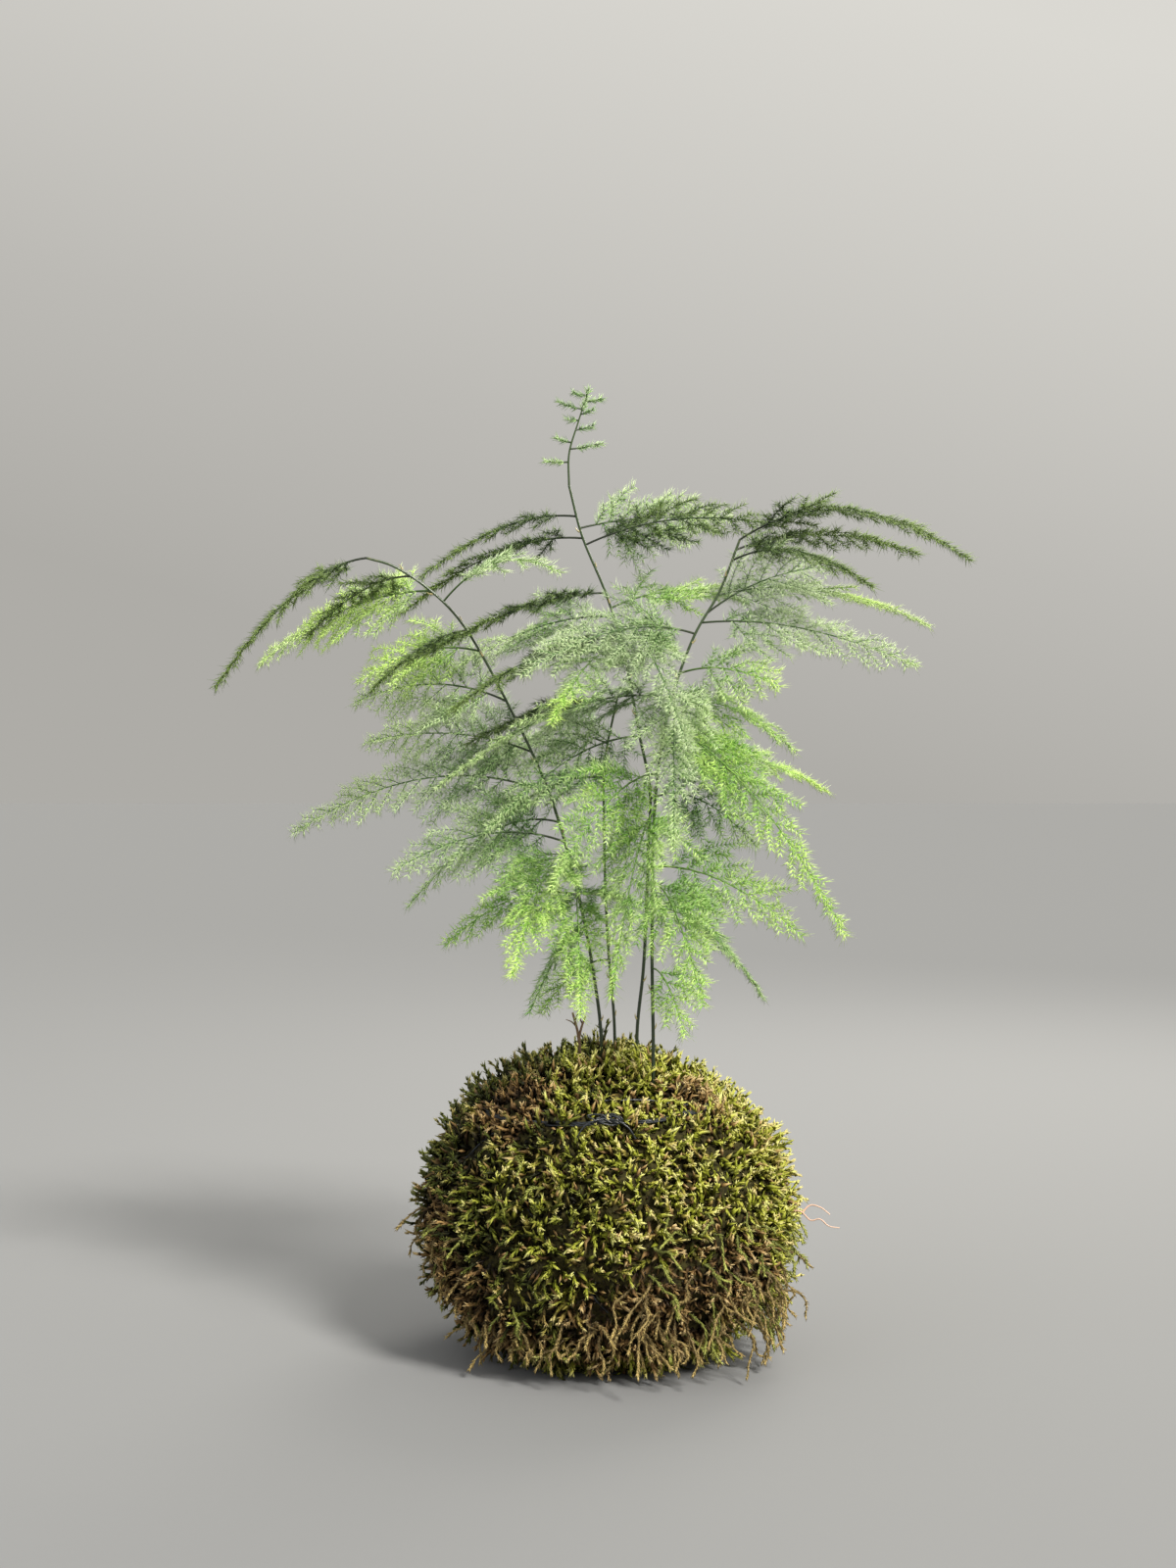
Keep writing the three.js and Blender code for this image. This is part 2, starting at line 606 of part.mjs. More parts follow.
// A side branch of a frond, with its leaflets in the frond's flat
function branchPiece(plan, curve, branch) {
  const root = curve.getPointAt(branch.share);
  const ahead = curve.getTangentAt(branch.share);
  const normal = frondNormal(plan, curve);
  const across = new THREE.Vector3().crossVectors(ahead, normal).normalize();
  const over = new THREE.Vector3().crossVectors(across, ahead);
  const angle = branch.angle * DEGREES;
  const way = ahead.clone().multiplyScalar(Math.cos(angle)).addScaledVector(over, branch.lift)
    .addScaledVector(across, branch.side * Math.sin(angle));
  const bend = ahead.clone().multiplyScalar(BRANCH.forward).addScaledVector(UP, -BRANCH.hang);
  const middle = root.clone().addScaledVector(way, branch.length * 0.5);
  const end = root.clone().addScaledVector(way.add(bend).normalize(), branch.length);
  const stops = leafletStops(branch.length, FROND.leafletSpacing);
  const leafletAt = (step, side) => {
    const share = side === 1 ? LEAFLET.upperShare : 1 - LEAFLET.dwindle * stops[step];
    return step % 2 ? LEAFLET.length * share : 0;
  };
  return twig({
    curve: new THREE.QuadraticBezierCurve3(root, middle, end),
    stops,
    sides: 3,
    radius: FROND.branchRadius,
    normal,
    leafletAt,
  });
}

// Side branches in turn left and right, with a little natural unevenness
function branchPlans(plan, length, seed) {
  const random = dice(seed);
  const count = Math.round((length - FROND.bareFoot) / FROND.branchSpacing);
  const plans = [];
  for (let i = 0; i < count; i += 1) {
    const along = FROND.bareFoot + (i + mix(BRANCH.place, random())) * FROND.branchSpacing;
    const share = Math.min(along / length, BRANCH.lastShare);
    const angle = mix(BRANCH.angle, share) + BRANCH.angleSpread * (random() - 0.5);
    const lift = BRANCH.liftSpread * (random() - 0.5);
    const size = plan.reach * branchProfile(share) * mix(BRANCH.size, random());
    plans.push({ share, side: i % 2 ? 1 : -1, angle, lift, length: Math.max(size, BRANCH.shortest) });
  }
  plans.push(END_BRANCH);
  return plans;
}

// Where a side branch would touch a neighbour it is bent up or down, and if that isn't enough it is shorter.
// Each try is an extra lift and a share of its length.
const BRANCH_TRIES = [
  [0, 1], [0.3, 1], [-0.3, 1], [0, 0.75], [0.35, 0.75], [-0.35, 0.75], [0, 0.5], [0, 0.35],
];

function clearBranch(plan, curve, branch, owner) {
  const tries = BRANCH_TRIES.map(([lift, share]) => branchPiece(plan, curve, {
    ...branch, lift: branch.lift + lift, length: branch.length * share,
  }));
  return tries.find((piece) => isClear(piece.bones, owner));
}

function buildFronds() {
  const names = FRONDS.map((plan, i) => `frond_${String(i + 1).padStart(2, '0')}`);
  const curves = FRONDS.map(rachisCurve);
  const rachises = FRONDS.map((plan, i) => rachisPiece(plan, curves[i]));
  rachises.forEach((piece, i) => place(piece.bones, names[i]));
  FRONDS.forEach((plan, i) => {
    const pieces = [rachises[i]];
    branchPlans(plan, curves[i].getLength(), 100 + 37 * i).forEach((branch) => {
      const piece = clearBranch(plan, curves[i], branch, names[i]);
      if (piece) {
        place(piece.bones, names[i]);
        pieces.push(piece);
      }
    });
    add(names[i], fuse(pieces), COLOURS[plan.age], 0.6);
  });
}

buildDryTwig();
buildBall();
buildStems();
buildLeader();
buildFronds();

export default group;
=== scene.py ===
# %% [markdown]
# This lesson dresses a kokedama: a ball of soil wrapped in living moss, bound with black thread, with a
# plumosa fern growing from it. The solid model already says where each stem and frond goes and how big
# it is. It is loaded first, so that every finer piece can be grown in the place of the plain one.

# %% Load the solid model
import json
import math
import random
from functools import partial

import bpy
import numpy as np
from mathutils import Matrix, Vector, noise


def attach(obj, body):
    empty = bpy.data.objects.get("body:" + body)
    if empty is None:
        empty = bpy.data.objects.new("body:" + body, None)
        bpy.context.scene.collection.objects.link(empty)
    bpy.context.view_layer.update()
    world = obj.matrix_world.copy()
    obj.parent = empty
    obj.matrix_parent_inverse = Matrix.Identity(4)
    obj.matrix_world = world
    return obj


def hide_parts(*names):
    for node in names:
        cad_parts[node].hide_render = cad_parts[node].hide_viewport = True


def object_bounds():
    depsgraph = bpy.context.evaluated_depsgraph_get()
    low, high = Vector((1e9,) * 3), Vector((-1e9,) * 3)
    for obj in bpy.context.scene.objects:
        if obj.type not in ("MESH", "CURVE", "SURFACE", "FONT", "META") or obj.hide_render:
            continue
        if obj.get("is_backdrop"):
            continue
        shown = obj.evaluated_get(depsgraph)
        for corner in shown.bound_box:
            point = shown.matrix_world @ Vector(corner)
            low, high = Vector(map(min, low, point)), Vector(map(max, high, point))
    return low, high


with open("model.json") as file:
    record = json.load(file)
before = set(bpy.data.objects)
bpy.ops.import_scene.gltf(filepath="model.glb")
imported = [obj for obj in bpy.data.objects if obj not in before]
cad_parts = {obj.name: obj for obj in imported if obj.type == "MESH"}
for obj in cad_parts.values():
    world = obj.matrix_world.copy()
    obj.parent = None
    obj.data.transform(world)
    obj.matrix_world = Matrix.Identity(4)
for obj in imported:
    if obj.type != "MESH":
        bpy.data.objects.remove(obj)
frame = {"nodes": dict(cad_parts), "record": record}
cad_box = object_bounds()
print("solid model:", len(frame["nodes"]), "nodes, box", [tuple(round(v, 4) for v in c) for c in cad_box])

# %% [markdown]
# Blender works in metres and in linear colour. Real sizes on a plant are easier to think about in
# millimetres, and colours are easier to pick as hex values, so both get one small conversion. One function
# adds a node of any kind, for materials and for Geometry Nodes alike: first its settings, which decide
# the sockets that it shows, then a colour ramp's stops if it has them, and then each input as a plain value
# or as a link.

# %% Units, colours and nodes
MM = 0.001


def linear(hex_colour):
    """Turns an sRGB hex colour into linear red, green, blue and alpha."""
    parts = [int(hex_colour[i:i + 2], 16) / 255 for i in (1, 3, 5)]
    return (*[v / 12.92 if v <= 0.04045 else ((v + 0.055) / 1.055) ** 2.4 for v in parts], 1.0)


def socket_of(sockets, key):
    """Finds a socket by its place, or the shown one with that name."""
    if isinstance(key, int):
        return sockets[key]
    return next(s for s in sockets if s.name == key and s.enabled)


def feed(node, inputs):
    """Gives each named input of a node a plain value, or a link from a socket or a node's first output."""
    for key, value in inputs.items():
        target = socket_of(node.inputs, key)
        if isinstance(value, bpy.types.Node):
            value = next(s for s in value.outputs if s.enabled)
        if isinstance(value, bpy.types.NodeSocket):
            node.id_data.links.new(value, target)
        else:
            target.default_value = value


def add_node(tree, kind, inputs=None, stops=None, **settings):
    """Adds a node with its settings and inputs. Stops are the places and hex colours of a colour ramp."""
    made = tree.nodes.new(kind)
    for name, value in settings.items():
        setattr(made, name, value)
    if stops:
        ends = made.color_ramp.elements
        ends[0].position, ends[1].position = stops[0][0], stops[-1][0]
        ends[0].color, ends[1].color = linear(stops[0][1]), linear(stops[-1][1])
        for place, colour in stops[1:-1]:
            ends.new(place).color = linear(colour)
    feed(made, inputs or {})
    return made


def new_material(name, roughness, specular=0.5):
    """A new material, a way to add nodes to it, and its main shader."""
    material = bpy.data.materials.new(name)
    material.use_nodes = True
    shader = material.node_tree.nodes["Principled BSDF"]
    feed(shader, {"Roughness": roughness, "Specular IOR Level": specular})
    return material, partial(add_node, material.node_tree), shader


print("moss green in linear colour:", [round(v, 3) for v in linear("#6d7a24")])

# %% [markdown]
# The camera stands where the photographer stood: 640 mm in front of the plant, a little above its middle,
# looking very slightly down. Light comes from a large soft window at the upper right, with a weak fill
# from the left, so that fine needles catch it on one side and stay readable on the other. The room behind
# grows lighter upwards and to the right, and meets the pale floor in the same grey, without a line.

# %% Camera, floor and light
CAMERA_AT = (-6.16, -640.0, 182.0)
CAMERA_DOWN = 1.75
CAMERA_LENS = 51.4
NEAREST = 0.01

camera_data = bpy.data.cameras.new("camera")
camera_data.lens = CAMERA_LENS
camera_data.clip_start = NEAREST
camera = bpy.data.objects.new("camera", camera_data)
camera.location = [v * MM for v in CAMERA_AT]
camera.rotation_euler = (math.radians(90 - CAMERA_DOWN), 0, 0)
bpy.context.scene.collection.objects.link(camera)
bpy.context.scene.camera = camera

# The window: the way to it from the plant, how wide it is in degrees, its strength and its colour
WINDOW_WAY = (0.5, -0.62, 0.72)
WINDOW_WIDTH = 14
WINDOW_STRENGTH = 5.0
WINDOW_COLOUR = "#fffbf3"
window_data = bpy.data.lights.new("window", "SUN")
window_data.energy = WINDOW_STRENGTH
window_data.angle = math.radians(WINDOW_WIDTH)
window_data.color = linear(WINDOW_COLOUR)[:3]
window = bpy.data.objects.new("window", window_data)
window.rotation_euler = Vector(WINDOW_WAY).to_track_quat("Z", "Y").to_euler()
bpy.context.scene.collection.objects.link(window)

# Lamps: name, place in millimetres, width in millimetres, power in watts, colour
LAMPS = [
    ("fill", (-760, -560, 380), 700, 1.6, "#eaf1ff"),
    ("rim", (300, 560, 560), 420, 3.2, "#fffaf0"),
]


PLANT_MIDDLE = Vector((0, 0, 0.13))


def soft_lamp(name, place, size, power, colour):
    """A square area light, in millimetres, turned to face the middle of the plant."""
    data = bpy.data.lights.new(name, "AREA")
    data.size = size * MM
    data.energy = power
    data.color = linear(colour)[:3]
    light = bpy.data.objects.new(name, data)
    light.location = Vector(place) * MM
    light.rotation_euler = (PLANT_MIDDLE - light.location).to_track_quat("-Z", "Y").to_euler()
    bpy.context.scene.collection.objects.link(light)


for row in LAMPS:
    soft_lamp(*row)

# The room's grey by the height of the line of sight, from level to straight up. It also pales to the right.
ROOM_GREYS = [(0.0, "#aeaca7"), (0.12, "#bcbab5"), (0.34, "#dad8d2"), (1.0, "#e8e6e0")]
ROOM_STRENGTH = 1.0
ROOM_SLANT = 0.3
FLOOR_SIZE = 8
FLOOR_GREY = "#7d7e7f"
world = bpy.data.worlds.new("studio")
world.use_nodes = True
sky = next(n for n in world.node_tree.nodes if n.type == "BACKGROUND")
sight = add_node(world.node_tree, "ShaderNodeTexCoord")
way = add_node(world.node_tree, "ShaderNodeSeparateXYZ", {"Vector": sight.outputs["Generated"]})
shift = add_node(world.node_tree, "ShaderNodeMath", {
    0: way.outputs["X"], 1: ROOM_SLANT, 2: way.outputs["Z"]}, operation="MULTIPLY_ADD")
greys = add_node(world.node_tree, "ShaderNodeValToRGB", {"Fac": shift}, ROOM_GREYS)
feed(sky, {"Color": greys, "Strength": ROOM_STRENGTH})
bpy.context.scene.world = world
bpy.context.scene.view_settings.view_transform = "Standard"

bpy.ops.mesh.primitive_plane_add(size=FLOOR_SIZE, location=(0, 0, 0))
floor = bpy.context.object
floor.name = "floor"
paint, _, shader = new_material("matt painted studio floor", 0.9)
feed(shader, {"Base Color": linear(FLOOR_GREY)})
floor.data.materials.append(paint)
floor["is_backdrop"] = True
print("camera, floor and", len(LAMPS) + 1, "lights are in place")

# %% [markdown]
# The stems and fronds follow curves that are known from the solid model's own dimensions. The stems are
# smooth curves through a few points, and each frond's rachis is a curve with three control points. The
# same tables are written here in millimetres, because fine pieces have to grow along the same lines.

# %% Stems and fronds as a table
STEM_FOOT_Z, STEM_STRAIGHT_Z = 50, 92
STEMS = [
    ("stem_1", (-2.5, -4), (0.75, 0.5), [(-4.5, -5, 108), (-7.5, -6, 125), (-16, -8, 157), (-27, -10, 182),
                                        (-44, -11, 211), (-60, -12, 223.5), (-68, -13, 226)]),
    ("stem_2", (1.5, 7), (0.7, 0.45), [(-0.5, 8, 118), (-1.5, 9, 150), (-1.2, 9, 169), (2.3, 8, 187)]),
    ("stem_3", (8, 1), (0.75, 0.5), [(9.8, 1, 110), (11.2, 2, 144), (11.6, 2, 161), (8.7, 2, 176),
                                     (3.7, 3, 202), (-1, 4, 217), (-8, 5, 234), (-11.6, 5, 248)]),
    ("stem_4", (12, -19), (0.75, 0.5), [(11.6, -20, 120), (12.4, -19, 157), (16, -15, 182), (23.5, -10, 204),
                                        (31, -6, 217), (37, -2, 232)]),
]

# Stem, height, tip, arch, roll in degrees, longest side branch, age
FRONDS = [
    (0, 226, (-109, -20, 190), 7, -14, 14, "old"),
    (0, 221, (-89, 20, 205), 4, 8, 12, "old"),
    (0, 217, (-105, 36, 198), 5, -58, 23, "young"),
    (2, 239, (-55, 20, 223), 5, -5, 9, "old"),
    (2, 233, (-60, 4, 211), 6, 16, 15, "old"),
    (0, 214, (-14, -30, 221), 7, 26, 13, "young"),
    (0, 206, (-64, -38, 189), 3, 5, 13, "old"),
    (2, 217, (-50, -25, 199), 4, 14, 15, "old"),
    (2, 204, (-43, -40, 183), 5, 8, 16, "old"),
    (1, 186, (-40, -6, 174), 4, 10, 18, "old"),
    (3, 187, (-46, -48, 163), 8, 16, 20, "grown"),
    (0, 160, (-94, 28, 147), 10, -62, 24, "grown"),
    (0, 186, (-74, 14, 186), 5, -62, 24, "grown"),
    (0, 172, (-73, 34, 174), 4, -56, 25, "grown"),
    (0, 146, (-60, -22, 139), 6, -55, 24, "grown"),
    (0, 131, (-47, 6, 116), 6, -45, 18, "young"),
    (0, 124, (-22, -30, 101), 3, 12, 16, "grown"),
    (1, 111, (-20, 22, 94), 4, 26, 17, "young"),
    (3, 156, (0, -58, 109), 8, 8, 26, "young"),
    (3, 140, (52, -30, 122), 5, 60, 24, "young"),
    (3, 179, (63, -38, 123), 9, 36, 20, "young"),
    (2, 170, (67, 44, 159), 6, 50, 22, "young"),
    (3, 183, (52, -8, 172), 7, 45, 20, "young"),
    (3, 208, (84, -20, 196), 4, 30, 22, "grown"),
    (3, 216, (96, 33, 209), 6, 20, 16, "young"),
    (3, 232, (101, -8, 226), 11, -12, 18, "old"),
    (2, 236, (36, 40, 241), 2, 78, 22, "grown"),
    (3, 226, (71, -30, 217), 6, -14, 16, "old"),
    (3, 136, (24, -54, 106), 7, 16, 22, "young"),
    (3, 112, (20, -37, 96), 4, 20, 17, "young"),
    (2, 158, (40, -24, 146), 6, 55, 22, "grown"),
    (2, 201, (-16, -46, 180), 6, -20, 21, "young"),
    (3, 205, (-24, -38, 193), 6, -48, 23, "grown"),
    (2, 208, (20, -48, 174), 8, 20, 22, "grown"),
    (1, 174, (-42, 56, 163), 7, -50, 25, "grown"),
    (2, 213, (40, 10, 215), 4, 36, 23, "young"),
    (2, 210.5, (-46, 26, 196), 4, -50, 25, "grown"),
    (0, 200, (-72, 4, 192), 4, -58, 24, "young"),
    (0, 152, (-58, 10, 127), 8, -38, 20, "grown"),
    (0, 134, (-8, -54, 103), 6, 4, 22, "young"),
    (0, 144, (-26, -54, 114), 7, -8, 26, "young"),
    (2, 126, (46, 24, 98), 8, 30, 20, "grown"),
    (3, 190, (16, -60, 148), 8, 10, 24, "grown"),
    (3, 194, (46, -26, 190), 3, 44, 20, "young"),
    (3, 211, (61, -6, 224), 3, 64, 24, "grown"),
    (3, 229, (90, 14, 229), 5, -8, 15, "old"),
    (2, 176, (-34, -30, 150), 6, -50, 22, "grown"),
    (3, 166, (-16, -46, 136), 7, -40, 24, "young"),
    (3, 174, (48, 22, 150), 7, 50, 22, "grown"),
    (1, 164, (-38, 24, 146), 5, -52, 20, "grown"),
    (2, 231, (50, 4, 236), 5, 32, 20, "old"),
]
print(len(STEMS), "stems and", len(FRONDS), "fronds")

# %% [markdown]
# A smooth curve through points is a Catmull-Rom curve. Its centripetal form, which spaces its knots by the
# square root of the distance between points, never loops or overshoots, so wiry stems stay wiry.

# %% Curves through points
UP = np.array((0.0, 0.0, 1.0))
STEPS_BETWEEN = 40
STEM_POINTS = 401


def unit(v):
    return v / np.linalg.norm(v)


def smooth_path(points, count):
    """A centripetal Catmull-Rom curve through points, as a count of evenly spaced points."""
    knots = [np.array(p, float) for p in points]
    knots = [2 * knots[0] - knots[1], *knots, 2 * knots[-1] - knots[-2]]
    dense = []
    for p0, p1, p2, p3 in zip(knots, knots[1:], knots[2:], knots[3:]):
        d0, d1, d2 = [np.linalg.norm(b - a) ** 0.5 for a, b in ((p0, p1), (p1, p2), (p2, p3))]
        m1 = ((p1 - p0) / d0 - (p2 - p0) / (d0 + d1) + (p2 - p1) / d1) * d1
        m2 = ((p2 - p1) / d1 - (p3 - p1) / (d1 + d2) + (p3 - p2) / d2) * d1
        for t in np.linspace(0, 1, STEPS_BETWEEN, endpoint=False):
            dense.append((2 * t ** 3 - 3 * t ** 2 + 1) * p1 + (t ** 3 - 2 * t ** 2 + t) * m1
                         + (3 * t ** 2 - 2 * t ** 3) * p2 + (t ** 3 - t ** 2) * m2)
    return even(np.array([*dense, knots[-2]]), count)


def even(points, count):
    """The same line with a count of evenly spaced points."""
    steps = np.linalg.norm(np.diff(points, axis=0), axis=1)
    along = np.concatenate(([0], np.cumsum(steps)))
    wanted = np.linspace(0, along[-1], count)
    return np.stack([np.interp(wanted, along, points[:, k]) for k in range(3)], axis=1)


def bend(root, middle, end, count):
    """A curve with three control points, as a count of points."""
    t = np.linspace(0, 1, count)[:, None]
    return (1 - t) ** 2 * root + 2 * t * (1 - t) * middle + t ** 2 * end


def line_length(points):
    return float(np.linalg.norm(np.diff(points, axis=0), axis=1).sum())


def stem_path(foot, above):
    straight = [(*foot, STEM_FOOT_Z), (*foot, (STEM_FOOT_Z + STEM_STRAIGHT_Z) / 2), (*foot, STEM_STRAIGHT_Z)]
    return smooth_path(straight + above, STEM_POINTS)


stem_paths = [stem_path(foot, above) for _, foot, _, above in STEMS]
print("stem lengths in mm:", [round(line_length(path)) for path in stem_paths])

# %% [markdown]
# Everything thin on the plant starts as a wire: bare edges whose points carry what the growing rules need
# to know. That is a radius, the direction that the frond's flat faces, how far along the frond the point
# is, whether leaves grow there, and how large they are.

# %% Wires that carry values
class Wire:
    """Strands of points in millimetres that become one mesh of bare edges in metres."""

    def __init__(self):
        self.points, self.edges = [], []
        self.values = {name: [] for name in ("radius", "flat", "share", "leafy", "size")}

    def add(self, points, radius, flat=(0, 0, 1), share=(0, 1), leafy=0.0, size=1.0, closed=False):
        """Adds a strand. Radius and share run evenly from their first to their last value."""
        first, count = len(self.points), len(points)
        self.points.extend(points)
        self.edges.extend((first + i, first + i + 1) for i in range(count - 1))
        if closed:
            self.edges.append((first + count - 1, first))
        self.values["radius"].extend(np.linspace(radius[0], radius[1], count) * MM)
        self.values["share"].extend(np.linspace(share[0], share[1], count))
        self.values["flat"].extend([tuple(flat)] * count)
        self.values["leafy"].extend([leafy] * count if np.isscalar(leafy) else leafy)
        self.values["size"].extend([size] * count)

    def mesh(self, name):
        made = bpy.data.meshes.new(name)
        made.from_pydata([tuple(np.array(p) * MM) for p in self.points], self.edges, [])
        for key, values in self.values.items():
            kind, field = ("FLOAT_VECTOR", "vector") if key == "flat" else ("FLOAT", "value")
            attribute = made.attributes.new(key, kind, "POINT")
            attribute.data.foreach_set(field, np.array(values, np.float32).ravel())
        return made


print("a wire carries:", ", ".join(Wire().values))

# %% [markdown]
# A Geometry Nodes tree is a recipe that can be run on any mesh. Each one here has a mesh in, a mesh out and
# named inputs for its sizes. A modifier's inputs are set by the socket's identifier before the object is
# first evaluated, and the evaluated result is then kept as a plain mesh, so the modifier can go.

# %% Running a growing rule
def new_rule(name, inputs):
    """A Geometry Nodes tree with named inputs, and its first and last node."""
    tree = bpy.data.node_groups.new(name, "GeometryNodeTree")
    tree.interface.new_socket("Geometry", in_out="INPUT", socket_type="NodeSocketGeometry")
    for label, kind in inputs.items():
        tree.interface.new_socket(label, in_out="INPUT", socket_type="NodeSocket" + kind)
    tree.interface.new_socket("Geometry", in_out="OUTPUT", socket_type="NodeSocketGeometry")
    return tree, add_node(tree, "NodeGroupInput"), add_node(tree, "NodeGroupOutput")


def grow(name, mesh, tree, values):
    """Runs a tree on a mesh and gives the result as an object with a plain mesh and no modifier."""
    piece = bpy.data.objects.new(name, mesh)
    bpy.context.scene.collection.objects.link(piece)
    modifier = piece.modifiers.new(tree.name, "NODES")
    modifier.node_group = tree
    for item in tree.interface.items_tree:
        if item.in_out == "INPUT" and item.name in values:
            modifier[item.identifier] = values[item.name]
    graph = bpy.context.evaluated_depsgraph_get()
    grown = bpy.data.meshes.new_from_object(piece.evaluated_get(graph), preserve_all_data_layers=True,
                                            depsgraph=graph)
    piece.modifiers.clear()
    piece.data = grown
    grown.name = name
    return piece


def triangles(piece):
    return sum(len(p.vertices) - 2 for p in piece.data.polygons)


total_triangles = {}


def keep(piece, slot, *nodes):
    """Fixes a finished piece to the plant, counts its triangles and hides the solids that it stands in for.
    """
    total_triangles[piece.name] = triangles(piece)
    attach(piece, "root")
    if nodes:
        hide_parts(*nodes)


# %% [markdown]
# A plumosa fern has no true leaves. Its green needles are cladodes: short stems, about 4 mm long and as
# thick as a hair, that stand in small bunches at each node of a twig. Seen flat to the frond they make
# a haze, and seen on edge they add up to a dark bar. A closed sliver with four faces is enough for one,
# because tens of thousands of them are seen together. A moss leaf can use the same sliver, made broader.

# %% One cladode
def sliver(name, width, depth, height):
    """A closed sliver on a small triangle, with a point at its top. Its faces are marked as a leaf's."""
    mesh = bpy.data.meshes.new(name)
    corners = [(-width, -depth, 0), (width, -depth, 0), (0, depth, 0), (0, 0, height)]
    mesh.from_pydata(corners, [], [(0, 2, 1), (0, 1, 3), (1, 2, 3), (2, 0, 3)])
    mesh.attributes.new("leaf", "BOOLEAN", "FACE").data.foreach_set("value", [True] * 4)
    mesh.attributes.new("rise", "FLOAT", "POINT").data.foreach_set("value", [0.0, 0.0, 0.0, 1.0])
    return bpy.data.objects.new(name, mesh)


cladode = sliver("cladode", 0.5, 0.4, 1.0)
print("a cladode has", len(cladode.data.polygons), "faces")

# %% [markdown]
# The twig rule does what the plant does. Every wire gets a thin round skin for its twig. Along the leafy
# wires it then sets a bunch of needles at even steps, each one leaning forward and spread to the two sides
# of the flat that the wire carries. Random turns come from a seed, so each run grows the same plant.

# %% The twig rule
NEEDLE_SHARES = (0.65, 1.1)

twig_rule, given, result = new_rule("twig with needles", {
    "Twig sides": "Int", "Bunch spacing": "Float", "Needles in a bunch": "Int", "Needle length": "Float",
    "Needle width": "Float", "Spread": "Float", "Least lean": "Float", "Most lean": "Float",
    "Lowest": "Float", "Seed": "Int", "Needle": "Object", "Twig skin": "Material", "Needle skin": "Material",
})


def lift_above(add, geometry, lowest):
    """Keeps everything at or above a height, so what hangs down bends along the floor."""
    place = add("GeometryNodeInputPosition")
    parts = add("ShaderNodeSeparateXYZ", {"Vector": place})
    height = add("ShaderNodeMath", {0: parts.outputs["Z"], 1: lowest}, operation="MAXIMUM")
    kept = add("ShaderNodeCombineXYZ", {"X": parts.outputs["X"], "Y": parts.outputs["Y"], "Z": height})
    return add("GeometryNodeSetPosition", {"Geometry": geometry, "Position": kept})


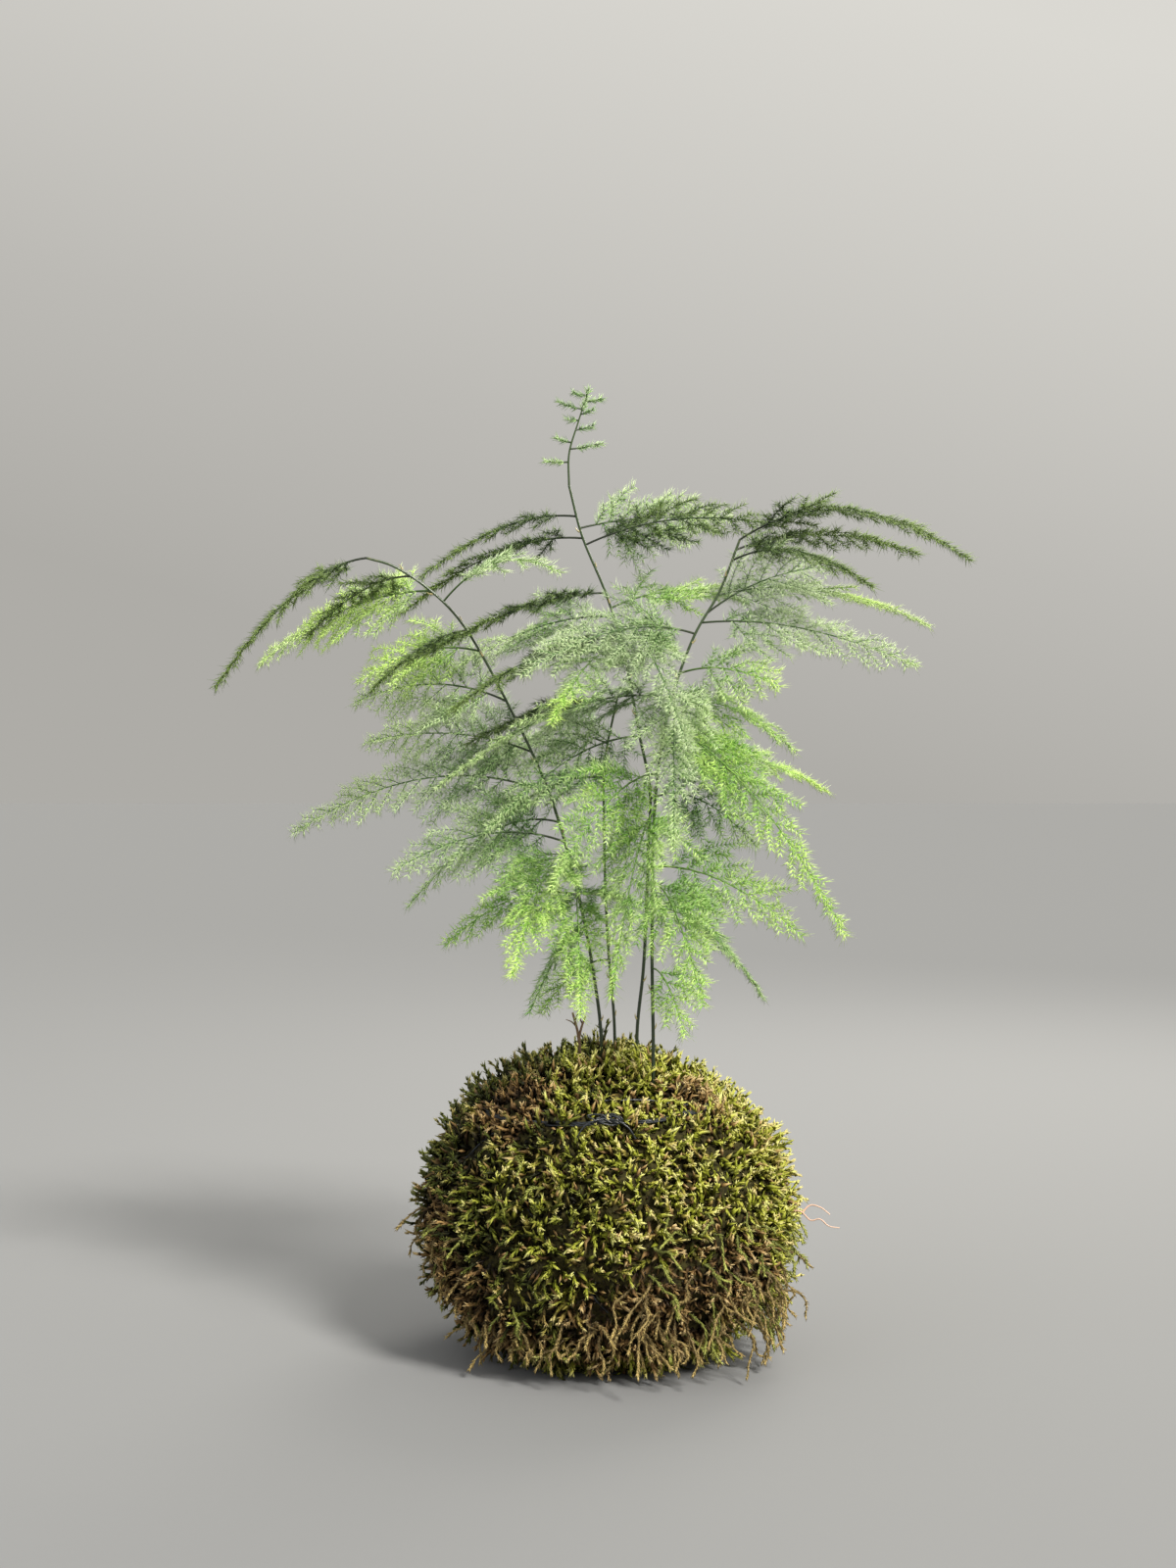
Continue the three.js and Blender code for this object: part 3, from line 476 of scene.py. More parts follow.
def twig_nodes(tree, given, result):
    add = partial(add_node, tree)
    port = given.outputs
    seeds = [add("ShaderNodeMath", {0: port["Seed"], 1: float(k)}, operation="ADD") for k in range(4)]
    wire = add("GeometryNodeMeshToCurve", {"Mesh": port["Geometry"]})
    radius = add("GeometryNodeInputNamedAttribute", {"Name": "radius"})
    ring = add("GeometryNodeCurvePrimitiveCircle", {"Resolution": port["Twig sides"], "Radius": 1.0})
    twigs = add("GeometryNodeCurveToMesh", {"Curve": wire, "Profile Curve": ring, "Scale": radius,
                                            "Fill Caps": True})
    leafy = add("GeometryNodeInputNamedAttribute", {"Name": "leafy"})
    bare = add("FunctionNodeCompare", {"A": leafy, "B": 0.5}, operation="LESS_THAN")
    green = add("GeometryNodeDeleteGeometry", {"Geometry": wire, "Selection": bare}, domain="POINT")
    stops = add("GeometryNodeCurveToPoints", {
        "Curve": green, "Length": port["Bunch spacing"]}, mode="LENGTH")
    bunch = add("GeometryNodeDuplicateElements", {
        "Geometry": stops.outputs["Points"], "Amount": port["Needles in a bunch"]}, domain="POINT")
    flat = add("GeometryNodeInputNamedAttribute", {"Name": "flat"}, data_type="FLOAT_VECTOR")
    ahead = add("FunctionNodeAlignRotationToVector", {"Vector": stops.outputs["Tangent"]}, axis="Z")
    level = add("FunctionNodeAlignRotationToVector", {"Rotation": ahead, "Vector": flat},
                axis="Y", pivot_axis="Z")
    stray = add("FunctionNodeRandomValue", {"Min": -1.0, "Max": 1.0, "Seed": seeds[0]})
    side = add("ShaderNodeMath", {0: bunch.outputs["Duplicate Index"], 1: math.pi}, operation="MULTIPLY")
    turn = add("ShaderNodeMath", {0: stray, 1: port["Spread"], 2: side}, operation="MULTIPLY_ADD")
    turn_by = add("FunctionNodeEulerToRotation", {"Euler": add("ShaderNodeCombineXYZ", {"Z": turn})})
    turned = add("FunctionNodeRotateRotation", {
        "Rotation": level, "Rotate By": turn_by}, rotation_space="LOCAL")
    lean = add("FunctionNodeRandomValue", {
        "Min": port["Least lean"], "Max": port["Most lean"], "Seed": seeds[1]})
    lean_by = add("FunctionNodeEulerToRotation", {"Euler": add("ShaderNodeCombineXYZ", {"Y": lean})})
    leaning = add("FunctionNodeRotateRotation", {
        "Rotation": turned, "Rotate By": lean_by}, rotation_space="LOCAL")
    size = add("GeometryNodeInputNamedAttribute", {"Name": "size"})
    odd = add("FunctionNodeRandomValue", {
        "Min": NEEDLE_SHARES[0], "Max": NEEDLE_SHARES[1], "Seed": seeds[2]})
    grown = add("ShaderNodeMath", {0: odd, 1: size}, operation="MULTIPLY")
    length = add("ShaderNodeMath", {0: grown, 1: port["Needle length"]}, operation="MULTIPLY")
    shape = add("GeometryNodeObjectInfo", {"Object": port["Needle"]})
    scale = add("ShaderNodeCombineXYZ", {"X": port["Needle width"], "Y": port["Needle width"], "Z": length})
    needles = add("GeometryNodeInstanceOnPoints", {
        "Points": bunch.outputs["Geometry"], "Instance": shape.outputs["Geometry"], "Rotation": leaning,
        "Scale": scale})
    shade = add("FunctionNodeRandomValue", {"Seed": seeds[3]})
    tinted = add("GeometryNodeStoreNamedAttribute", {
        "Geometry": needles, "Name": "shade", "Value": shade}, data_type="FLOAT", domain="INSTANCE")
    both = add("GeometryNodeJoinGeometry", {"Geometry": twigs})
    feed(both, {"Geometry": tinted})
    solid = add("GeometryNodeRealizeInstances", {"Geometry": both})
    smooth = add("GeometryNodeSetShadeSmooth", {"Geometry": lift_above(add, solid, port["Lowest"])})
    skinned = add("GeometryNodeSetMaterial", {"Geometry": smooth, "Material": port["Twig skin"]})
    is_leaf = add("GeometryNodeInputNamedAttribute", {"Name": "leaf"}, data_type="BOOLEAN")
    dressed = add("GeometryNodeSetMaterial", {
        "Geometry": skinned, "Selection": is_leaf, "Material": port["Needle skin"]})
    feed(result, {"Geometry": dressed})


twig_nodes(twig_rule, given, result)
print("the twig rule has", len(twig_rule.nodes), "nodes")

# %% [markdown]
# Cladodes are living green tissue with a thin waxy skin, so they are matt with a faint gloss. No two
# are the same green: a frond pales from its foot to its tip, and from old growth to new. The colour reads
# the values that the wires carried, and a slow noise over the whole plant keeps fronds from matching.
# Needles are darker near the plant's middle as painted shade and paler far out and up high as painted
# light, and some of the higher ones are a dusty sage. Wiry twigs turn from a hard dark foot to a greener
# tip.

# %% Cladode and twig materials
# The pale ends of the grown and young greens are lighter than the tissue, as painted light for light that
# shines through thin needles; the dark old greens, given to most of the upper fronds, also stand for their
# painted shade against the light
CLADODE_GREENS = {
    "old": ("#1d2e12", "#3b5424", "#7d964a"),
    "grown": ("#325c2a", "#76a650", "#cee6a2"),
    "young": ("#376c1a", "#82be3a", "#daf88c"),
}

SAGE_GREENS = [(0, "#3f5a34"), (0.5, "#86a56c"), (1, "#cbdcb2")]
SAGE_SHARES = {"old": 0.1, "grown": 0.75, "young": 0.85}
# Painted light and shade: how much brighter the highest needles are, the least and the most that being far
# out adds (below nought near the middle, as painted shade), and how far out in metres that is
PAINTED_TOP_LIGHT = {"old": 0.0, "grown": 0.28, "young": 0.2}
PAINTED_OUTER_LIGHT = (-0.12, 0.22)
OUTER_RANGE = (0.02, 0.085)
# Noise lumps of about 22 mm for the green, 38 mm for the sage and 1 mm for the grain of wood
GREEN_SCALE, SAGE_SCALE, GRAIN_SCALE = 45.0, 26.0, 900.0


def cladode_skin(age):
    """Green by place and slow noise; painted light far out and high up, painted shade near the middle."""
    material, add, shader = new_material(f"waxy {age} cladode", 0.42)
    shade = add("ShaderNodeAttribute", attribute_name="shade").outputs["Fac"]
    share = add("ShaderNodeAttribute", attribute_name="share").outputs["Fac"]
    place = add("ShaderNodeTexCoord").outputs["Object"]
    patch = add("ShaderNodeTexNoise", {"Vector": place, "Scale": GREEN_SCALE, "Detail": 2.0}).outputs["Fac"]
    first = add("ShaderNodeMath", {0: shade, 1: 0.55, 2: patch}, operation="MULTIPLY_ADD")
    tone = add("ShaderNodeMath", {0: share, 1: 0.45, 2: first}, operation="MULTIPLY_ADD")
    parts = add("ShaderNodeSeparateXYZ", {"Vector": place}).outputs
    on_floor = add("ShaderNodeCombineXYZ", {"X": parts["X"], "Y": parts["Y"]})
    outward = add("ShaderNodeVectorMath", {0: on_floor}, operation="LENGTH")
    # Painted shade near the plant's middle and painted light far out from it
    painted_outer_light = add("ShaderNodeMapRange", {
        "Value": outward.outputs["Value"], "From Min": OUTER_RANGE[0], "From Max": OUTER_RANGE[1],
        "To Min": PAINTED_OUTER_LIGHT[0], "To Max": PAINTED_OUTER_LIGHT[1]})
    # Painted light: the highest grown and young needles are brighter
    high = add("ShaderNodeMapRange", {
        "Value": parts["Z"], "From Min": 0.15, "From Max": 0.2, "To Max": PAINTED_TOP_LIGHT[age]})
    painted_light_share = add("ShaderNodeMath", {0: painted_outer_light, 1: high}, operation="ADD")
    painted_lit_tone = add("ShaderNodeMath", {0: tone, 1: painted_light_share}, operation="ADD")
    level = add("ShaderNodeMapRange", {"Value": painted_lit_tone, "From Min": 0.5, "From Max": 1.3})
    dark, middle, light = CLADODE_GREENS[age]
    fresh = add("ShaderNodeValToRGB", {"Fac": level}, [(0, dark), (0.5, middle), (1, light)])
    paling = add("ShaderNodeTexNoise", {"Vector": place, "Scale": SAGE_SCALE, "Detail": 1.0}).outputs["Fac"]
    aloft = add("ShaderNodeMapRange", {
        "Value": parts["Z"], "From Min": 0.12, "From Max": 0.17, "To Min": 0.2, "To Max": SAGE_SHARES[age]})
    patches = add("ShaderNodeMapRange", {"Value": paling, "From Min": 0.4, "From Max": 0.6})
    sage = add("ShaderNodeMath", {0: aloft, 1: patches}, operation="MULTIPLY")
    faded = add("ShaderNodeValToRGB", {"Fac": level}, SAGE_GREENS)
    colour = add("ShaderNodeMix", {"Factor": sage, "A": fresh, "B": faded}, data_type="RGBA")
    feed(shader, {"Base Color": colour})
    return material


def twig_skin(name, low, high, scale, roughness):
    """Wiry wood with a fine grain, a dark foot, a greener tip and the colour of its dry scale leaves."""
    material, add, shader = new_material(name, roughness)
    share = add("ShaderNodeAttribute", attribute_name="share").outputs["Fac"]
    place = add("ShaderNodeTexCoord").outputs["Object"]
    grain = add("ShaderNodeTexNoise", {"Vector": place, "Scale": GRAIN_SCALE, "Detail": 2.0}).outputs["Fac"]
    centred = add("ShaderNodeMath", {0: grain, 1: 0.3, 2: -0.15}, operation="MULTIPLY_ADD")
    mixed = add("ShaderNodeMath", {0: share, 1: 0.7, 2: centred}, operation="MULTIPLY_ADD", use_clamp=True)
    colour = add("ShaderNodeValToRGB", {"Fac": mixed}, [(0, low), (0.7, high), (0.9, scale)])
    bump = add("ShaderNodeBump", {"Height": grain, "Strength": 0.3, "Distance": 0.0001})
    feed(shader, {"Base Color": colour, "Normal": bump})
    return material


cladode_skins = {age: cladode_skin(age) for age in CLADODE_GREENS}
twig_skins = {
    "old": twig_skin("hard old rachis", "#1f2419", "#35502a", "#6d6a45", 0.4),
    "grown": twig_skin("hard grown rachis", "#2a3220", "#4f7a36", "#8a8a55", 0.4),
    "young": twig_skin("soft young rachis", "#3d5528", "#7fae48", "#a8b068", 0.45),
}
print("green materials:", [m.name for m in cladode_skins.values()])

# %% [markdown]
# A frond is a flat spray. Side branches leave the rachis in turn left and right, longest near its foot,
# and the longer ones bear short branchlets of their own. The solid model builds about one side branch in
# five, at the same angles and lengths, so the finer frond fills the same outline. Each frond is twisted a
# little along its rachis, and no two branches are alike.

# %% The wires of a frond
BARE_FOOT = 6
CREST_SHARE = 0.45
RACHIS_POINTS, LEAFY_FROM = 25, 15
RACHIS_RADIUS, BRANCH_RADIUS, BRANCHLET_RADIUS = (0.36, 0.12), (0.15, 0.07), (0.09, 0.06)
BRANCH_SPACING, BRANCHLET_SPACING = 2.4, 3.4
BRANCH_POINTS = 6
SHORTEST_BRANCH = 2.5
LAST_BRANCH = 0.97
# Angles in degrees from the rachis at its foot and at its tip, and how far a branch may stray from them
BRANCH_ANGLE, ANGLE_STRAY = (60, 36), 9
# How far a branch stands out of the flat, how long it is, how much it bends forward and how much it hangs
OUT_OF_FLAT, LENGTH_STRAY, FORWARD_BEND, BRANCH_HANG = 0.28, (0.62, 1.15), (0.1, 0.55), (0, 0.34)
FROND_TWIST = 0.7


def branch_profile(share):
    """How long a side branch is at a share of the rachis, against the frond's longest."""
    return min(0.62 + share * 1.8, 1) * (1 - share) ** 0.75


def frond_wire(plan, seed):
    stem, height, tip, arch, roll, reach, age = plan
    dice = random.Random(seed)
    path = stem_paths[stem]
    root = path[np.argmin(np.abs(path[:, 2] - height))]
    tip = np.array(tip, float)
    crest = root + (tip - root) * CREST_SHARE + UP * 2 * arch
    rachis = bend(root, crest, tip, RACHIS_POINTS)
    chord = unit(tip - root)
    side = unit(np.cross(chord, UP))
    flat = unit(np.cross(side, chord))
    turn = math.radians(roll)
    flat = flat * math.cos(turn) + np.cross(chord, flat) * math.sin(turn)
    length = line_length(rachis)
    twist = dice.uniform(-FROND_TWIST, FROND_TWIST)
    wire = Wire()
    wire.add(rachis, RACHIS_RADIUS, flat, leafy=[float(i > LEAFY_FROM) for i in range(RACHIS_POINTS)])
    count = int((length - BARE_FOOT) / BRANCH_SPACING)
    for i in range(count):
        share = min((BARE_FOOT + (i + dice.uniform(0.3, 0.7)) * BRANCH_SPACING) / length, LAST_BRANCH)
        place = share * (RACHIS_POINTS - 1)
        k = min(int(place), RACHIS_POINTS - 2)
        start = rachis[k] + (rachis[k + 1] - rachis[k]) * (place - k)
        ahead = unit(rachis[k + 1] - rachis[k])
        twisted = flat * math.cos(twist * share) + np.cross(chord, flat) * math.sin(twist * share)
        add_branch(wire, start, ahead, twisted, i, share, reach, dice)
    return wire


def add_branch(wire, start, ahead, flat, i, share, reach, dice):
    """One side branch, bent forward and down a little, with short branchlets on its lower half."""
    across = unit(np.cross(ahead, flat))
    degrees = BRANCH_ANGLE[0] + (BRANCH_ANGLE[1] - BRANCH_ANGLE[0]) * share
    angle = math.radians(degrees + dice.uniform(-ANGLE_STRAY, ANGLE_STRAY))
    way = ahead * math.cos(angle) + across * (1 if i % 2 else -1) * math.sin(angle)
    way = way + np.cross(across, ahead) * dice.uniform(-OUT_OF_FLAT, OUT_OF_FLAT)
    length = max(reach * branch_profile(share) * dice.uniform(*LENGTH_STRAY), SHORTEST_BRANCH)
    forward = unit(way + ahead * dice.uniform(*FORWARD_BEND) - UP * dice.uniform(*BRANCH_HANG))
    points = bend(start, start + way * length * 0.5, start + forward * length, BRANCH_POINTS)
    small = 0.72 + 0.28 * (1 - share)
    tones = (share, min(share + 0.4, 1))
    wire.add(points, BRANCH_RADIUS, flat, tones, 1.0, small)
    for j in range(int(length * 0.7 / BRANCHLET_SPACING)):
        along = (j + 0.8) * BRANCHLET_SPACING / length
        foot = points[0] + (points[-1] - points[0]) * along
        lateral = unit(np.cross(forward, flat)) * (1 if (i + j) % 2 else -1)
        out = unit(forward * 0.75 + lateral + flat * dice.uniform(-0.4, 0.4))
        reach_out = length * 0.4 * (1 - along) * dice.uniform(0.8, 1.2)
        end = foot + out * reach_out + forward * 0.15 * reach_out
        twig = np.array([foot, foot + out * reach_out * 0.5, end])
        wire.add(twig, BRANCHLET_RADIUS, flat, tones, 1.0, small * 0.9)


# %% Grow the fronds
CLADODE_LABELS = ("Needle length", "Needle width", "Bunch spacing", "Spread")
CLADODE_SIZES = {
    "old": (3.8 * MM, 0.2 * MM, 0.95 * MM, 1.1),
    "grown": (3.9 * MM, 0.18 * MM, 1.2 * MM, 0.8),
    "young": (4.0 * MM, 0.19 * MM, 1.15 * MM, 0.8),
}
FROND_SIZES = {
    "Twig sides": 3, "Needles in a bunch": 8, "Least lean": 0.45, "Most lean": 1.15, "Lowest": 0.0,
    "Needle": cladode,
}
FROND_SEED = 500


def grow_frond(index, plan):
    age = plan[-1]
    name = f"frond_{index + 1:02d}"
    wire = frond_wire(plan, FROND_SEED + index)
    values = {**FROND_SIZES, **dict(zip(CLADODE_LABELS, CLADODE_SIZES[age])), "Seed": 10 * index + 1,
              "Twig skin": twig_skins[age], "Needle skin": cladode_skins[age]}
    piece = grow(name + "_spray", wire.mesh(name), twig_rule, values)
    keep(piece, frame_slots[name], name)


frame_slots = {row["node"]: row["material_slot"] for row in frame["record"]["subparts"]}
for index, plan in enumerate(FRONDS):
    grow_frond(index, plan)
print("fronds:", len(FRONDS), "with", sum(total_triangles.values()), "triangles")

# %% [markdown]
# The stems are wiry, glossy and nearly black-green. At each node sits a small dry scale leaf, the only
# true leaf that this plant has. The young leader is softer and greener, and its side shoots have just
# begun to open, so their cladodes are short and close together. The dead twig by the left stem is plain
# grey-brown wood.

# %% Stems, leader and dry twig
SCALE_SPACING, SCALE_LENGTH, SCALE_RADIUS = 11, 1.7, (0.34, 0.04)
SCALES_FROM_Z, SCALES_END = 95, 3
# A share past 1 picks the dry end of the twig's colours
SCALE_TONES = (1.25, 1.3)
STEM_RADIUS_SHARE = 0.7
# Leaves follow one another round a shoot by the golden angle, in radians
LEAF_TURN = 2.4

BARE = {
    "Bunch spacing": 1.0, "Needles in a bunch": 0, "Needle length": 1 * MM, "Needle width": 0.2 * MM,
    "Spread": 0.5, "Least lean": 0.4, "Most lean": 0.8, "Lowest": 0.0, "Seed": 1, "Needle": cladode,
}


def add_scales(wire, path, radius, dice):
    """Small pointed scale leaves that stand off a stem at its nodes."""
    steps = np.linalg.norm(np.diff(path, axis=0), axis=1)
    along = np.concatenate(([0], np.cumsum(steps)))
    first = along[np.argmin(np.abs(path[:, 2] - SCALES_FROM_Z))]
    turn = dice.uniform(0, math.tau)
    for stop in np.arange(first, along[-1] - SCALES_END, SCALE_SPACING):
        k = int(np.argmin(np.abs(along - stop)))
        turn += LEAF_TURN
        ahead = unit(path[min(k + 3, len(path) - 1)] - path[max(k - 3, 0)])
        out = unit(np.cross(ahead, (math.cos(turn), math.sin(turn), 0.2)))
        foot = path[k] + out * radius * 0.7
        middle = foot + (ahead * 0.5 + out * 0.35) * SCALE_LENGTH
        tip = foot + (ahead + out * 0.4) * SCALE_LENGTH
        wire.add(np.array([foot, middle, tip]), SCALE_RADIUS, share=SCALE_TONES)


wood_skin = twig_skin("glossy wiry stem", "#1f291a", "#324424", "#a09468", 0.28)
for number, (name, _, radii, _) in enumerate(STEMS):
    wire = Wire()
    path = stem_paths[number]
    thin = [r * STEM_RADIUS_SHARE for r in radii]
    wire.add(even(path, 90), thin)
    add_scales(wire, path, thin[0], random.Random(60 + number))
    piece = grow(name + "_wire", wire.mesh(name), twig_rule, {
        **BARE, "Twig sides": 8, "Twig skin": wood_skin, "Needle skin": wood_skin})
    keep(piece, frame_slots[name], name)

# The leader goes on from the end of stem 3. Needles grow along it above a height.
LEADER_PATH = [(-11.62, 5, 248.05), (-11.6, 5, 257), (-9, 5, 266), (-6, 5, 275.2)]
LEADER_FLAT, LEADER_LEAFY_Z, LEADER_SIZE = (0, -0.4, 1), 269, 0.8
# Height, side and length of each young side shoot
LEADER_SHOOTS = [
    (254.5, -1, 6.5), (258.5, 1, 9), (260.5, -1, 5), (264, 1, 5), (266.5, -1, 3.5), (268.5, 1, 3.5),
    (270, -1, 7), (272, 1, 5), (274, -1, 4),
]
leader_skin = twig_skin("soft green leader", "#2c3a22", "#4c6432", "#8a9a60", 0.4)
leader = smooth_path(LEADER_PATH, 60)
wire = Wire()
wire.add(leader, (0.36, 0.2), LEADER_FLAT, (0.3, 0.6), [float(p[2] > LEADER_LEAFY_Z) for p in leader],
         LEADER_SIZE)
dice = random.Random(977)
for height, side, length in LEADER_SHOOTS:
    foot = leader[np.argmin(np.abs(leader[:, 2] - height))]
    way = unit(np.array((side, dice.uniform(-0.6, 0.6), dice.uniform(0.05, 0.4))))
    end = foot + way * length
    wire.add(bend(foot, foot + way * length * 0.5 - UP * 0.4, end, 6), (0.3, 0.12), LEADER_FLAT,
             (0.1, 0.5), [0, 1, 1, 1, 1, 1], LEADER_SIZE)
leader_piece = grow("leader_tip_shoot", wire.mesh("leader_tip"), twig_rule, {
    **FROND_SIZES, "Needle length": 3.2 * MM, "Needle width": 0.27 * MM, "Bunch spacing": 0.6 * MM,
    "Spread": 1.3, "Seed": 61, "Twig skin": leader_skin, "Needle skin": cladode_skins["grown"]})
keep(leader_piece, frame_slots["leader_tip"], "leader_tip")

# The dead twig: each line of points with its first and last radius
DRY_TWIG = [
    ([(-8.5, -7.5, 79), (-8.5, -7.5, 87), (-9, -8, 92), (-10.5, -9, 98)], (0.6, 0.3)),
    ([(-8.5, -7.5, 86), (-8.7, -7.7, 90.5), (-7.9, -7.6, 94), (-6.8, -7.6, 97)], (0.5, 0.25)),
    ([(-9.4, -8.3, 94), (-10.8, -8.2, 95.3), (-12.4, -8.4, 96)], (0.3, 0.1)),
    ([(-9.8, -8.6, 96), (-9.1, -9.6, 97.6), (-9.3, -10.2, 99)], (0.28, 0.08)),
    ([(-7.7, -7.6, 94.6), (-8.5, -7, 96.4), (-8.3, -6.6, 98.2)], (0.26, 0.08)),
]
dead_skin = twig_skin("dry dead twig", "#4b3a2a", "#6f583f", "#8a7458", 0.85)
wire = Wire()
for points, radii in DRY_TWIG:
    wire.add(smooth_path(points, 12), radii)
twig_piece = grow("dry_twig_fork", wire.mesh("dry_twig"), twig_rule, {
    **BARE, "Twig sides": 6, "Twig skin": dead_skin, "Needle skin": dead_skin})
keep(twig_piece, frame_slots["dry_twig"], "dry_twig")
print("stems, leader and twig:", {k: v for k, v in total_triangles.items() if "frond" not in k})

# %% [markdown]
# The ball is a squashed, slightly lumpy sphere. Its outside is known from the solid model as a distance
# from its middle in each direction. A dark skin is laid a little under that outside: old brown moss, soil
# and shade, which is what shows between the green shoots. It swells and sinks by a few millimetres, as
# clumps of moss do. Its points also carry what the moss needs to know: the way the shoots are combed, how
# tall and how close they stand, and where they are dry or tied down by the thread.

# %% The ball's outside
BALL_MIDDLE = np.array((0.0, 0.0, 42.0))
BALL_HALF_WIDTH, BALL_HALF_DEPTH = 52.5, 51.0
BALL_CROWN, BALL_BELLY = 44.5, 46.0
CROWN_SQUARENESS, BELLY_SQUARENESS = 2.1, 2.4
SHOULDER_WAY = (0.62, 0, 0.785)
SHOULDER_DROP = 4
BALL_LUMP = 1.3
SKIN_DEPTH = 3.2
SKIN_FINENESS = 6
# Clumps: the size of each kind, how high it is and a shift of its noise, and the deepest and the highest
CLUMPS = [(8, 2.6, 3), (3.2, 1.0, 9)]
CLUMP_LIMITS = (-3.0, 1.4)
FLOOR_GAP = 0.25


def ball_reach(way):
    """How far the ball's outside is from its middle, for one unit direction or many."""
    x, y, z = way[..., 0], way[..., 1], way[..., 2]
    level = np.hypot(x / BALL_HALF_WIDTH, y / BALL_HALF_DEPTH)
    upright = np.abs(z) / np.where(z > 0, BALL_CROWN, BALL_BELLY)
    squareness = np.where(z > 0, CROWN_SQUARENESS, BELLY_SQUARENESS)
    rounded = (level ** squareness + upright ** squareness) ** (-1 / squareness)
    broad = np.sin(5.3 * x + 1.1) * np.sin(4.7 * y + 0.6)
    slanting = np.sin(6.1 * z + 4.2 * x)
    shoulder = np.maximum(way @ np.array(SHOULDER_WAY), 0) ** 8
    return rounded + BALL_LUMP / 2 * (broad + slanting) - SHOULDER_DROP * shoulder


def ball_point(way, lift=0.0):
    way = unit(np.array(way, float))
    return BALL_MIDDLE + way * (ball_reach(way) + lift)


NOISE_STEP = 17.3


def slow_noise(point, scale, shift=0.0):
    """Smooth noise from about -1 to 1, with lumps of about a size in millimetres."""
    return noise.noise(Vector(point) / scale + Vector((shift, shift, shift)))


def slow_drift(points, scale, shift):
    """A smoothly changing direction for each point, from three noises that stand far apart."""
    return np.array([[slow_noise(p, scale, shift + NOISE_STEP * k) for k in range(3)] for p in points])


bpy.ops.mesh.primitive_ico_sphere_add(subdivisions=SKIN_FINENESS, radius=1)
sphere = bpy.context.object
ways = np.array([v.co[:] for v in sphere.data.vertices])
ways = ways / np.linalg.norm(ways, axis=1)[:, None]
skin = BALL_MIDDLE + ways * (ball_reach(ways) - SKIN_DEPTH)[:, None]
lumps = np.array([sum(slow_noise(p, size, shift) * height for size, height, shift in CLUMPS) for p in skin])
lumps = np.clip(lumps, *CLUMP_LIMITS)
skin = skin + ways * lumps[:, None]
skin[:, 2] = np.maximum(skin[:, 2], FLOOR_GAP)
print("the ball's skin has", len(skin), "points")

# %% [markdown]
# Where the moss has died back it is brown, and on the lower right it hangs in a worn tan patch. Each patch
# is a soft spot on the ball: its middle in millimetres, its size and its strength, with an uneven edge.
# Shoots are short and sparse on such a patch, and short under the thread. They lean in slowly changing
# ways, up on the crown and down on the belly. Painted light makes them most golden at the right and in
# front.

# %% What the skin tells the moss
DRY_PATCHES = [
    ((-29, -25, 76), 11, 1.0),
    ((26, -19, 80), 10, 1.0),
    ((22, -42, 24), 16, 1.0),
    ((-2, -46, 14), 13, 0.85),
    ((38, -30, 30), 9, 0.7),
    ((-38, -24, 16), 15, 0.95),
    ((-46, -14, 42), 9, 0.7),
    ((8, 45, 60), 12, 0.9),
    ((-34, 36, 30), 13, 0.8),
    ((44, 18, 20), 12, 0.8),
    ((10, 40, 12), 14, 0.8),
    ((49, 6, 52), 7, 0.6),
]
BAND = {"tilt": 9, "turn": -50, "rise": 47}
TIED_WIDTH = 2.4
# Comb: the share that points straight out, sways and curls, the height where it turns from down to up and
# how far from it the turn is full, how much it rises and droops, and how dry moss hangs on the lower part
OUTWARD, SWAY, CURL = 0.45, 1.4, 1.3
TURN_Z, TURN_RANGE, CROWN_RISE, BELLY_DROOP = 30, 45, 0.55, 0.7
DRY_DROOP, WILT_BELOW = 0.5, 0.4
# Height: how much shorter moss is under the thread, where it is dry and at the front
TIED_SHARE, DRY_SHARE, FRONT_SHARE, FRONT_WAY = 0.45, 0.25, 0.22, (0.25, -0.93, 0.25)
# Colour and cover: how golden it is on the whole and, as painted light, by its side, and the least and the
# most cover
MEAN_GOLD, PAINTED_LIGHT_WAY = 0.33, (0.55, -0.42, 0.1)
COVER_LIMITS = (0.15, 1)


def ring_way(turn, angle, shift=0.0):
    """The direction from the ball's middle to a thread's turn, at an angle round it."""
    tilt, swing = math.radians(turn["tilt"]), math.radians(turn["turn"])
    normal = np.array((math.sin(swing) * math.sin(tilt), -math.cos(swing) * math.sin(tilt), math.cos(tilt)))
    first = np.array((math.cos(swing), math.sin(swing), 0))
    second = np.cross(normal, first)
    way = (first * math.cos(angle) + second * math.sin(angle)) * BALL_HALF_WIDTH
    return unit(way + UP * (turn["rise"] + shift))


band_line = np.array([ball_point(ring_way(BAND, a)) for a in np.linspace(0, math.tau, 240)])
seen_band = band_line[(band_line[:, 1] < -20) & (band_line[:, 0] > -12) & (band_line[:, 0] < 30)]


def dryness(p):
    spots = [strength * math.exp(-(np.linalg.norm(p - np.array(c)) / size) ** 2)
             for c, size, strength in DRY_PATCHES]
    return min(max(sum(spots) * 1.25 + slow_noise(p, 5, 21) * 0.45 - 0.12, 0), 1)


